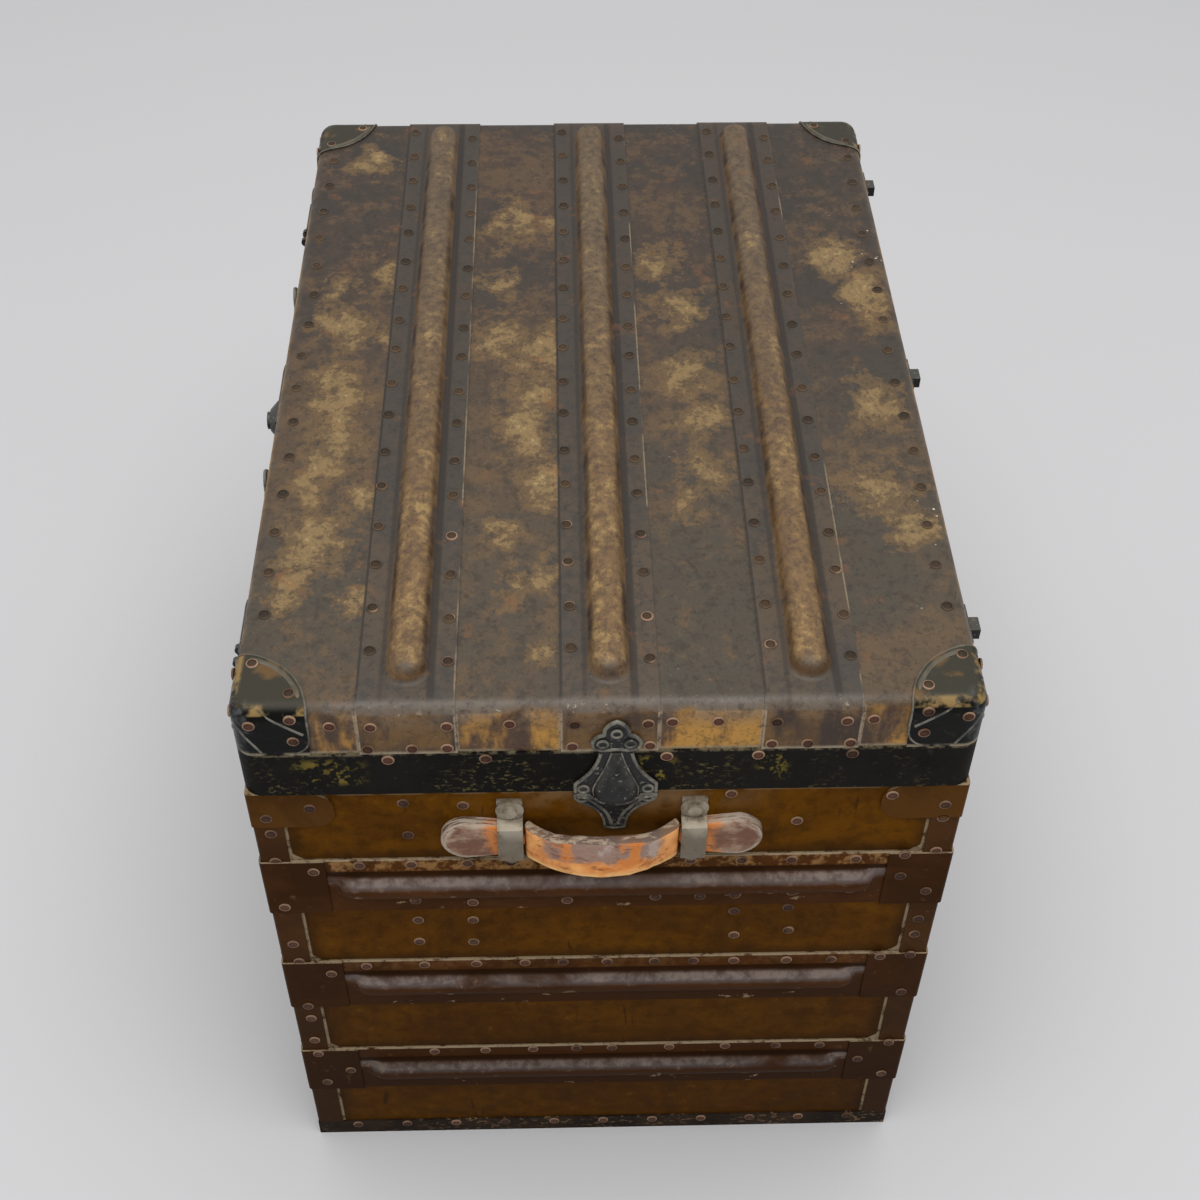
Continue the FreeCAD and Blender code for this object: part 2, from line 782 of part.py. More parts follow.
def clamp_upper(name, spaced):
    """A clamp's lid half: a trefoil plate, a flared skirt and a pear-shaped hood that hangs below the lid."""
    half, neck, lobe = size("clamp_width") / 2, size("clamp_neck_width") / 2, size("clamp_lobe_width") / 2
    top = size("clamp_height")
    bar = size("lid_binding_height")
    outline = mirrored([
        (0, 0), (half, 0), (half, bar * 0.27), ("arc", (neck * 1.34, bar * 0.55)), (neck, bar * 0.9),
        (neck, bar), (neck * 1.12, bar), ("arc", (lobe, bar * 1.21)), (lobe * 0.6, bar * 1.4),
        ("arc", (lobe * 0.4, bar * 1.62)), (0, top),
    ])
    front = BINDING_OUT + size("clamp_plate")
    skirt = plate(f"{name}_plate", outline, size("clamp_plate"), BINDING_OUT)
    pieces = [skirt, clamp_hood(name, front)]
    thick, length = size("crossbar_thickness"), neck * 2.3
    pieces.append(block(f"{name}_bar", thick, length, thick * 2, front, -(length / 2), bar - thick))
    if spaced:
        height = (top - bar) * 0.6
        pieces.append(block(f"{name}_spacer", SHEET_METAL, lobe, height, OVERHANG, -lobe / 2, bar))
    return fuse(name, pieces)


def clamp_hood(name, front):
    """A pear cut from a body of revolution whose axis lies behind the plate."""
    half, rise = size("hood_width") / 2, size("hood_rise")
    widest = (half * half + rise * rise) / (rise * 2)
    sunk = widest - rise
    low, level, high = -size("hood_drop"), size("hood_level"), size("lid_binding_height")
    foot, back = level - low, high - level
    pear = [
        (0, low), (sunk, low), (sunk + rise * 0.45, low + foot * 0.18), (widest, level),
        (sunk + rise * 0.85, level + back * 0.25), (sunk + rise * 0.1, high), (0, high),
    ]
    body = put(turned(f"{name}_pear", pear), x=front - sunk)
    room = block(
        f"{name}_room", rise * 2, half * 4, high - low, BINDING_OUT, -(half * 2), low,
    )
    return common(f"{name}_hood", [body, room])


def clamp_lower(name):
    """A clamp's body half: two arms that meet in a stem, with a raised cradle for the hood."""
    half, stem = size("clamp_width") / 2, size("receiver_stem_width") / 2
    drop, gap = size("receiver_drop"), size("side_clearance")
    outline = mirrored([
        (0, -drop), (stem, drop * -0.8), ("arc", (stem * 1.6, drop * -0.42)), (half, drop * -0.2),
        (half, -gap * 4), (0, -gap * 4),
    ])
    arms = plate(f"{name}_arms", outline, size("clamp_plate"))
    inner = size("hood_width") / 2 + size("cradle_clearance")
    depth = size("hood_drop") + size("cradle_clearance")
    outer, low = inner + size("cradle_wall"), depth + size("cradle_wall")
    ring = [
        (-outer, -gap * 4), ("arc", (0, -low)), (outer, -gap * 4),
        (inner, -gap * 4), ("arc", (0, -depth)), (-inner, -gap * 4),
    ]
    cradle = plate(f"{name}_cradle", ring, size("cradle_rise"))
    return fuse(name, [arms, cradle])


def clamps():
    """Clamps on both ends and two on the front, each in two halves."""
    places = {
        "end": (("right_end", size("clamp_end_offset")), ("left_end", -size("clamp_end_offset"))),
        "front": (("front", size("clamp_front_offset")), ("front", -size("clamp_front_offset"))),
    }
    for kind, spots in places.items():
        hoods, receivers = [], []
        for index, (side, lateral) in enumerate(spots):
            hood = clamp_upper(f"{kind}_hood_{index}", kind == "front")
            hoods.append(on_side(hood, side, lateral, LID_BASE))
            receivers.append(on_side(clamp_lower(f"{kind}_receiver_{index}"), side, lateral, PARTING))
        node(f"{kind}_clamp_hoods", group(f"{kind}_clamp_hoods", hoods))
        node(f"{kind}_clamp_receivers", group(f"{kind}_clamp_receivers", receivers))


def strap_level():
    """Height of the handle leather's middle."""
    return PARTING - size("strap_drop")


def handle_loop(name, bolt_level):
    """A steel strap that bridges the leather, with a bolt foot above and a rivet foot below."""
    thick = size("loop_thickness")
    low = strap_level() - size("strap_height") / 2 - size("strap_slack")
    high = strap_level() + size("strap_height") / 2 + size("strap_slack")
    inner = size("strap_thickness") + size("strap_slack") * 2
    outer = inner + thick
    outline = [
        (0, low - size("loop_rivet_foot")), (thick, low - size("loop_rivet_foot")), (thick, low - thick * 2),
        (outer, low), (outer, high), (thick, high + thick),
        (thick, high + size("loop_bolt_foot")), (0, high + size("loop_bolt_foot")), (0, high),
        (inner, high), (inner, low), (0, low),
    ]
    bar = profile_bar(f"{name}_bar", outline, size("loop_width"))
    hole = stud(f"{name}_hole", bolt_shank(), thick * 2, -thick / 2, bolt_level)
    return cut(name, bar, hole)


def bolt_shank():
    """Radius of a loop bolt's shank."""
    return size("bolt_radius") * 0.6


def strap_end(name, inner_edge):
    """The leather outside a loop: a neck under it and a teardrop tail."""
    neck, tail = size("strap_height") / 2, size("strap_tail_height") / 2
    loop_end = inner_edge + size("loop_width") + size("side_clearance")
    full = loop_end + size("strap_tail") * 0.5
    tip = loop_end + size("strap_tail")
    outline = [
        (inner_edge, -neck), (loop_end, -neck), (full, -tail), ("arc", (tip, 0)),
        (full, tail), (loop_end, neck), (inner_edge, neck),
    ]
    body = plate(name, outline, size("strap_thickness"))
    face = size("strap_thickness").value

    def is_front_edge(edge):
        return same(edge.BoundBox.XMin, face) and same(edge.BoundBox.XMax, face)

    return bevel_edges(body, size("strap_round"), is_front_edge)


def grip(name, half_length):
    """The leather between the loops, bowed outwards and bevelled along its edges."""
    thick, bow = size("strap_thickness"), size("grip_bow")
    plan = [
        (0, -half_length), (thick, -half_length), ("arc", (thick + bow, 0)), (thick, half_length),
        (0, half_length), ("arc", (bow, 0)),
    ]
    height = size("strap_height")
    body = pad(f"{name}_leather", "XY_Plane", [plan], height, midplane=True)

    def is_long_edge(edge):
        return edge.Length > height.value and same(edge.BoundBox.ZMin, edge.BoundBox.ZMax)

    return bevel_edges(body, size("grip_round"), is_long_edge)


def turned_over(thing):
    """A copy of a piece turned over about its own outward axis."""
    thing.Placement = FreeCAD.Placement(FreeCAD.Vector(), FreeCAD.Rotation(FreeCAD.Vector(1, 0, 0), 180))
    return group(f"{thing.Name}_over", [thing])


def handles():
    """A leather strap handle on each end: fixed ends, two loops and a grip that lifts."""
    inner_edge = (size("loop_spacing") - size("loop_width")) / 2
    seat = inner_edge - size("grip_gap") / 2
    bolt_level = strap_level() + size("strap_height") / 2 + size("loop_bolt_foot") * 0.585
    loops, bolts = [], []
    for side, middle in (("right_end", -size("handle_end_offset")), ("left_end", size("handle_end_offset"))):
        ends = []
        for hand, key in ((-1, "a"), (1, "b")):
            lateral = middle + size("loop_spacing") / 2 * hand
            loops.append(on_side(handle_loop(f"loop_{side}_{key}", bolt_level), side, lateral))
            bolts.append(on_side(loop_bolt(f"loop_bolt_{side}_{key}"), side, lateral, bolt_level))
            end = strap_end(f"strap_end_{side}_{key}", seat)
            ends.append(on_side(end if hand > 0 else turned_over(end), side, middle, strap_level()))
        node(f"handle_ends_{side}", group(f"handle_ends_{side}", ends))
        held = grip(f"handle_grip_{side}", seat - size("grip_gap"))
        node(f"handle_grip_{side}", on_side(held, side, middle, strap_level()))
    node("handle_loops", group("handle_loops", loops))
    node("handle_bolts", group("handle_bolts", bolts))


def loop_bolt(name):
    """A bolt through a loop's foot, with a washer and a round head."""
    thick = size("loop_thickness")
    shank = stud(f"{name}_shank", bolt_shank() - size("running_fit"), thick, 0, 0)
    washer = stud(f"{name}_washer", size("washer_radius"), size("washer_thickness"), thick, 0)
    head = stud(f"{name}_head", size("bolt_radius"), size("bolt_head"), thick, 0)
    return fuse(name, [shank, washer, head])


def hinge_axis_out():
    """How far the lid hinges' axis stands out from the body cover."""
    return BINDING_OUT + SIDE_GAP + size("hinge_knuckle_radius")


def bored(name, solid, radius, length, out, height):
    """The solid with a pin hole through its eyes."""
    hole = side_bar(f"{name}_hole", radius + size("running_fit"), length + OVERRUN * 2, out, height)
    return cut(name, solid, hole)


def hinge_upper(name):
    """A lid leaf: up the binding, stepped in over the cover, with a lug near its top."""
    leaf, radius = size("hinge_leaf"), size("hinge_knuckle_radius")
    clear = radius + SIDE_GAP
    step = size("lid_binding_height") + size("parting_gap") / 2
    top = size("hinge_upper_reach")
    outline = [
        (BINDING_OUT, clear), (BINDING_OUT + leaf, clear), (BINDING_OUT + leaf, top), (OVERHANG, top),
        (OVERHANG, step), (BINDING_OUT, step),
    ]
    leaf_bar = profile_bar(f"{name}_leaf", outline, size("hinge_width"))
    eye_width = size("hinge_knuckle_width") - SIDE_GAP * 2
    tail = profile_bar(
        f"{name}_tail", rectangle(BINDING_OUT, 0, BINDING_OUT + leaf, clear + OVERRUN), eye_width,
    )
    eye = side_bar(f"{name}_eye", radius, eye_width, hinge_axis_out(), 0)
    lug = block(
        f"{name}_lug", size("hinge_lug_rise"), size("hinge_lug_width"), size("hinge_lug_height"),
        BINDING_OUT, -(size("hinge_lug_width") / 2), size("hinge_lug_level") - size("hinge_lug_height") / 2,
    )
    solid = fuse(f"{name}_solid", [leaf_bar, tail, eye, lug])
    return bored(name, solid, size("hinge_pin_radius"), eye_width, hinge_axis_out(), 0)


def hinge_lower(name):
    """A body leaf: flat on the cover, cranked out at its top to the two outer eyes."""
    leaf, radius = size("hinge_leaf"), size("hinge_knuckle_radius")
    clear = radius + SIDE_GAP
    out = hinge_axis_out()
    drop = size("hinge_lower_reach")
    outline = [
        (0, -drop), (leaf, -drop), (leaf, -clear * 2.5), (out, -clear), (0, -clear),
    ]
    pieces = [profile_bar(f"{name}_leaf", outline, size("hinge_width"))]
    eye_width = (size("hinge_width") - size("hinge_knuckle_width")) / 2
    lateral = (size("hinge_knuckle_width") + eye_width) / 2
    for hand in (-1, 1):
        pieces.append(side_bar(f"{name}_eye{hand > 0}", radius, eye_width, out, 0, lateral * hand))
        web = rectangle(OVERHANG, -clear * 1.2, out, -radius / 2)
        pieces.append(profile_bar(f"{name}_web{hand > 0}", web, eye_width, lateral * hand))
    solid = fuse(f"{name}_solid", pieces)
    return bored(name, solid, size("hinge_pin_radius"), size("hinge_width"), out, 0)


def hinge_level():
    """Height of the lid hinges' axis, in the middle of the parting gap."""
    return PARTING + size("parting_gap") / 2


def hinges():
    """Three butt hinges along the back."""
    uppers, lowers, pins = [], [], []
    for index in range(3):
        lateral = (LENGTH / 2 - size("hinge_inset")) * (index - 1)
        uppers.append(on_side(hinge_upper(f"hinge_upper_{index}"), "back", lateral, hinge_level()))
        lowers.append(on_side(hinge_lower(f"hinge_lower_{index}"), "back", lateral, hinge_level()))
        pin = side_bar(
            f"hinge_pin_{index}", size("hinge_pin_radius"), size("hinge_width"), hinge_axis_out(), 0,
        )
        pins.append(on_side(group(f"hinge_pin_{index}_group", [pin]), "back", lateral, hinge_level()))
    node("hinge_lid_leaves", group("hinge_lid_leaves", uppers))
    node("hinge_body_leaves", group("hinge_body_leaves", lowers))
    node("hinge_pins", group("hinge_pins", pins))


def fitting_axis_out():
    """How far the front fittings' pivots stand out from the body cover."""
    return BINDING_OUT + FACE_GAP + size("fitting_knuckle_radius")


def fitting_mount(name, width):
    """A plate on the lid with two eyes that carry a swinging piece."""
    level, radius = size("fitting_axis_level"), size("fitting_knuckle_radius")
    top = level + size("fitting_mount_height")
    half, base = width / 2, size("lid_binding_height") + SIDE_GAP
    outline = [
        (-half, base), (half, base), (half, top - half / 2), ("arc", (0, top)), (-half, top - half / 2),
    ]
    pieces = [plate(f"{name}_plate", outline, size("fitting_mount_plate"), OVERHANG)]
    eye_width = width / 4
    for hand in (-1, 1):
        lateral = (width - eye_width) / 2 * hand
        pieces.append(side_bar(f"{name}_eye{hand > 0}", radius, eye_width, fitting_axis_out(), level, lateral))
        web = rectangle(OVERHANG, level - radius / 2, fitting_axis_out(), level + radius / 2)
        pieces.append(profile_bar(f"{name}_web{hand > 0}", web, eye_width, lateral))
    solid = fuse(f"{name}_solid", pieces)
    return bored(name, solid, size("fitting_pin_radius"), width, fitting_axis_out(), level)


def swinging_eye(name, width):
    """The middle eye of a swinging piece, with the neck that joins it to its plate."""
    level, radius = size("fitting_axis_level"), size("fitting_knuckle_radius")
    eye_width = width / 2 - SIDE_GAP * 2
    out = fitting_axis_out()
    base = BINDING_OUT + FACE_GAP
    neck = rectangle(base, level - radius - SIDE_GAP * 4, base + size("hasp_thickness"), level)
    eye = side_bar(f"{name}_eye", radius, eye_width, out, level)
    return [eye, profile_bar(f"{name}_neck", neck, eye_width)]


def lock_hasp(name):
    """The hasp: a shield plate with a round dome and the key barrel in its middle."""
    half, tip = size("hasp_width") / 2, size("hasp_tip_width") / 2
    top = size("fitting_axis_level") - size("fitting_knuckle_radius") - SIDE_GAP
    drop, level = size("hasp_drop"), size("hasp_dome_level")
    neck = size("lock_mount_width") / 4 - SIDE_GAP
    outline = mirrored([
        (0, -drop), (tip * 0.5, -drop), ("arc", (tip * 0.95, drop * -0.8)), (tip, drop * -0.3),
        ("arc", (half, level * 0.8)), (half * 0.7, top), (neck, top), (0, top),
    ])
    base = BINDING_OUT + FACE_GAP
    thick = size("hasp_thickness")
    radius, rise = size("hasp_dome_radius"), size("hasp_dome_rise")
    dome = put(
        turned(f"{name}_dome", [
            (0, thick / 2), (radius, thick / 2), (radius * 0.85, rise * 0.6), (radius * 0.5, rise), (0, rise),
        ]),
        base, 0, level, FreeCAD.Rotation(FreeCAD.Vector(0, 1, 0), 90),
    )
    barrel = stud(
        f"{name}_barrel", size("hasp_barrel_radius"), size("hasp_dome_rise") + size("hasp_barrel_rise"),
        base, level,
    )
    pieces = [plate(f"{name}_plate", outline, thick, base), dome, barrel]
    pieces += swinging_eye(name, size("lock_mount_width"))
    solid = fuse(f"{name}_solid", pieces)
    return bored(name, solid, size("fitting_pin_radius"), size("lock_mount_width"), fitting_axis_out(),
                 size("fitting_axis_level"))


def lock_body_plate(name):
    """The lock's lower plate with its raised case."""
    half, drop = size("lock_width") / 2, size("lock_drop")
    gap = SIDE_GAP * 4
    outline = mirrored([
        (0, -drop), ("arc", (half * 0.55, drop * -0.92)), (half * 0.86, drop * -0.62),
        ("arc", (half * 0.98, drop * -0.4)), (half, drop * -0.18), (half, -gap), (0, -gap),
    ])
    case_half = size("lock_case_width") / 2
    case_top = -size("hasp_drop") - SIDE_GAP * 6
    case_base = case_top - size("lock_case_height")
    plate_thick = size("fitting_plate")
    case = pad(f"{name}_case", "YZ_Plane", [rectangle(-case_half, case_base, case_half, case_top)],
               plate_thick + size("lock_case_rise"))
    face = (plate_thick + size("lock_case_rise")).value

    def is_front_edge(edge):
        return same(edge.BoundBox.XMin, face) and same(edge.BoundBox.XMax, face)

    bevel_edges(case, size("lock_case_round"), is_front_edge)
    return fuse(name, [plate(f"{name}_plate", outline, plate_thick), case])


def latch_bolt(name):
    """A draw latch's swinging half: a strap with two thumb ears and a tongue."""
    half, tongue = size("latch_bolt_width") / 2, size("latch_tongue_width") / 2
    top = size("fitting_axis_level") - size("fitting_knuckle_radius") - SIDE_GAP
    drop = size("latch_drop")
    neck = size("latch_width") / 4 - SIDE_GAP
    outline = mirrored([
        (0, -drop), ("arc", (tongue * 0.7, drop * -0.92)), (tongue, drop * -0.7), (tongue, 0),
        ("arc", (half * 0.8, drop * 0.4)), (half, drop), (half, top * 0.75), (neck, top), (0, top),
    ])
    base = BINDING_OUT + FACE_GAP
    thick = size("hasp_thickness")
    ear_radius, ear_thick = size("latch_ear_radius"), size("latch_ear_thickness")
    pieces = [plate(f"{name}_plate", outline, thick, base)] + swinging_eye(name, size("latch_width"))
    level, rise = size("latch_ear_level"), size("latch_ear_rise")
    for hand in (-1, 1):
        lateral = size("latch_ear_spread") / 2 * hand
        centre = base + thick + rise - ear_radius
        ear = rectangle(base + thick / 2, level - ear_radius * 0.6, centre, level + ear_radius * 0.6)
        pieces.append(profile_bar(f"{name}_ear{hand > 0}", ear, ear_thick, lateral))
        pieces.append(side_bar(f"{name}_tip{hand > 0}", ear_radius, ear_thick, centre, level, lateral))
    solid = fuse(f"{name}_solid", pieces)
    return bored(name, solid, size("fitting_pin_radius"), size("latch_width"), fitting_axis_out(),
                 size("fitting_axis_level"))


def latch_catch(name):
    """A draw latch's fixed half: a plate with a raised cradle round the tongue."""
    half, drop = size("latch_width") / 2, size("catch_drop")
    gap = SIDE_GAP * 4
    outline = mirrored([
        (0, -drop), ("arc", (half * 0.7, drop * -0.9)), (half, drop * -0.62), (half, -gap), (0, -gap),
    ])
    arms = plate(f"{name}_plate", outline, size("fitting_plate"))
    inner = size("latch_tongue_width") / 2 + size("cradle_clearance")
    depth = size("latch_drop") + size("cradle_clearance")
    wall = size("cradle_wall")
    ring = [
        (-inner - wall, -gap), (-inner - wall, -depth), ("arc", (0, -depth - inner - wall)),
        (inner + wall, -depth), (inner + wall, -gap),
        (inner, -gap), (inner, drop * -0.4), ("arc", (0, -depth)), (-inner, drop * -0.4), (-inner, -gap),
    ]
    cradle = plate(f"{name}_cradle", ring, size("cradle_rise"))
    return fuse(name, [arms, cradle])


def fitting_pin(name, width, lateral):
    """The pin of one front fitting."""
    pin = side_bar(name, size("fitting_pin_radius"), width, fitting_axis_out(), size("fitting_axis_level"))
    return on_side(group(f"{name}_group", [pin]), "front", lateral, LID_BASE)


def lock_and_latches():
    """The lock in the middle of the front and a draw latch each side of it."""
    node("lock_body_plate", on_side(lock_body_plate("lock_body_plate"), "front", 0, PARTING))
    mount = fitting_mount("lock_lid_mount", size("lock_mount_width"))
    node("lock_lid_mount", on_side(mount, "front", 0, LID_BASE))
    node("lock_hasp", on_side(lock_hasp("lock_hasp"), "front", 0, LID_BASE))
    pins = [fitting_pin("lock_pin", size("lock_mount_width"), 0)]
    for hand, name in ((-1, "left"), (1, "right")):
        lateral = (LENGTH / 2 - size("latch_inset")) * hand
        node(f"latch_catch_{name}", on_side(latch_catch(f"latch_catch_{name}"), "front", lateral, PARTING))
        mount = fitting_mount(f"latch_mount_{name}", size("latch_width"))
        node(f"latch_mount_{name}", on_side(mount, "front", lateral, LID_BASE))
        bolt = latch_bolt(f"latch_bolt_{name}")
        node(f"latch_bolt_{name}", on_side(bolt, "front", lateral, LID_BASE))
        pins.append(fitting_pin(f"latch_pin_{name}", size("latch_width"), lateral))
    node("front_fitting_pins", group("front_fitting_pins", pins))


def build():
    """Make every piece, from the boards outwards."""
    body_boards()
    body_covers()
    base_bindings()
    corner_strips()
    body_bands()
    corner_wraps()
    rim_caps()
    rim_tongues()
    tray_cleats()
    form = lid_form("lid_form", 0)
    core = lid_form("lid_core", -FIBRE, bevel_edges)
    lid_boards(core)
    node("lid_cover", cut("lid_cover", form, core))
    lid_binding()
    lid_bands()
    lid_corners(form)
    clamps()
    handles()
    hinges()
    lock_and_latches()
    DOC.recompute()


def check_model():
    """Stop if any feature failed or any piece has no sound solid."""
    for thing in DOC.Objects:
        if {"Invalid", "Error"} & set(thing.State):
            raise RuntimeError(f"{thing.Name} failed: {thing.State}")
    for piece in NODES:
        if piece.Shape.isNull() or not piece.Shape.isValid() or not piece.Shape.Solids:
            raise RuntimeError(f"{piece.Label} has no sound solid")


def write_parts():
    """Write one file for each piece."""
    os.makedirs("parts", exist_ok=True)
    for piece in NODES:
        piece.Shape.exportStep(f"parts/{piece.Label}.step")
    print(f"{len(NODES)} parts, {sum(len(piece.Shape.Solids) for piece in NODES)} solids")


build()
check_model()
write_parts()
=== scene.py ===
"""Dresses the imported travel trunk: pressed bands, rivets, iron fittings, leather and worn finishes."""
import logging
import math
from abc import ABC, abstractmethod
from dataclasses import dataclass, field
from enum import Enum
from typing import Callable, Iterable, Sequence

import bmesh
import bpy
from mathutils import Matrix, Vector


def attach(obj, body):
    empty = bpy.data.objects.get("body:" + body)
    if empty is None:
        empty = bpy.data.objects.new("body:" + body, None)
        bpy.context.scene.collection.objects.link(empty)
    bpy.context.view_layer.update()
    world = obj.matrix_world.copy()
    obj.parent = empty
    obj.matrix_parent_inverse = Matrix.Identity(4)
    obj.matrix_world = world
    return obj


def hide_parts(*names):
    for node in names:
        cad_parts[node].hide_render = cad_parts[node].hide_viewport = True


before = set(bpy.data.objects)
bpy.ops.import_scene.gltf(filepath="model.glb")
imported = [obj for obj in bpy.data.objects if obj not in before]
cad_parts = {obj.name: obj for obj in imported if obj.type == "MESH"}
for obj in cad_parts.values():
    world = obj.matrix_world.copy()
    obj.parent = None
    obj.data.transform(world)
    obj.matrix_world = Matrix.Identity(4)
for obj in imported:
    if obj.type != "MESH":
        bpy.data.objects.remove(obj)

LOG = logging.getLogger("trunk")
Tint = tuple[float, float, float]
Spot = tuple[float, float]
Point = tuple[float, float, float]
Rows = tuple[tuple[float, ...], ...]


@dataclass(frozen=True)
class TrunkSizes:
    """Sizes that several pieces and finishes share, in metres."""

    sheet: float = 0.0015
    lid_pitch: float = 0.15
    lid_offsets: tuple[float, ...] = (-0.150, 0.0, 0.150)
    lid_band_top: float = 0.6398
    lid_cover_top: float = 0.6383
    band_pitch: float = 0.147
    band_width: float = 0.070
    band_levels: tuple[float, ...] = (0.418, 0.271, 0.124)


TRUNK = TrunkSizes()
NEAR = 0.0001  # closer than this counts as touching


def tint(red: int, green: int, blue: int) -> Tint:
    """Turns a colour as seen on a screen into the linear numbers that shaders use."""
    shares = (value / 255 for value in (red, green, blue))
    return tuple(((c + 0.055) / 1.055) ** 2.4 if c > 0.04045 else c / 12.92 for c in shares)


# Patterns

class Pattern:
    """A number or a colour that varies over a surface."""

    def __init__(self, tree: bpy.types.NodeTree, socket: bpy.types.NodeSocket) -> None:
        """Keeps the node tree and the output that carries the value."""
        self.tree = tree
        self.socket = socket

    def maths(self, operation: str, *others: "Pattern | float") -> "Pattern":
        """Works out one step of arithmetic.

        Args:
            operation: The name of the arithmetic, as the Math node has it.
            others: What comes after this pattern in the sum.

        Returns:
            The result.
        """
        node = self.tree.nodes.new("ShaderNodeMath")
        node.operation = operation
        for place, value in zip(node.inputs, (self, *others)):
            if isinstance(value, Pattern):
                self.tree.links.new(value.socket, place)
            else:
                place.default_value = value
        return Pattern(self.tree, node.outputs[0])

    def __add__(self, other: "Pattern | float") -> "Pattern":
        """This plus the other."""
        return self.maths("ADD", other)

    def __sub__(self, other: "Pattern | float") -> "Pattern":
        """This less the other."""
        return self.maths("SUBTRACT", other)

    def __mul__(self, other: "Pattern | float") -> "Pattern":
        """This times the other."""
        return self.maths("MULTIPLY", other)

    def __abs__(self) -> "Pattern":
        """This without its sign."""
        return self.maths("ABSOLUTE")

    def rest(self) -> "Pattern":
        """What is left of 1 when this is taken off."""
        return self * -1.0 + 1.0

    def least(self, other: "Pattern | float") -> "Pattern":
        """The lower of the two."""
        return self.maths("MINIMUM", other)

    def most(self, other: "Pattern | float") -> "Pattern":
        """The higher of the two."""
        return self.maths("MAXIMUM", other)

    def repeat(self, start: float, pitch: float) -> "Pattern":
        """Counts from 0 to the pitch again and again, from a start."""
        return (self - start).maths("FLOORED_MODULO", pitch)

    def rise(self, low: float, high: float) -> "Pattern":
        """Goes smoothly from 0 at one value to 1 at another.

        Args:
            low: The value that gives 0. It may be the higher of the two.
            high: The value that gives 1.

        Returns:
            A share from 0 to 1.
        """
        node = self.tree.nodes.new("ShaderNodeMapRange")
        node.interpolation_type = "SMOOTHSTEP"
        turned = low > high
        node.inputs["From Min"].default_value = min(low, high)
        node.inputs["From Max"].default_value = max(low, high)
        node.inputs["To Min"].default_value = 1.0 if turned else 0.0
        node.inputs["To Max"].default_value = 0.0 if turned else 1.0
        self.tree.links.new(self.socket, node.inputs["Value"])
        return Pattern(self.tree, node.outputs["Result"])

    def within(self, low: float, high: float, soft: float) -> "Pattern":
        """Is 1 from low to high and fades to 0 over a soft width outside."""
        return self.rise(low - soft, low) * self.rise(high + soft, high)


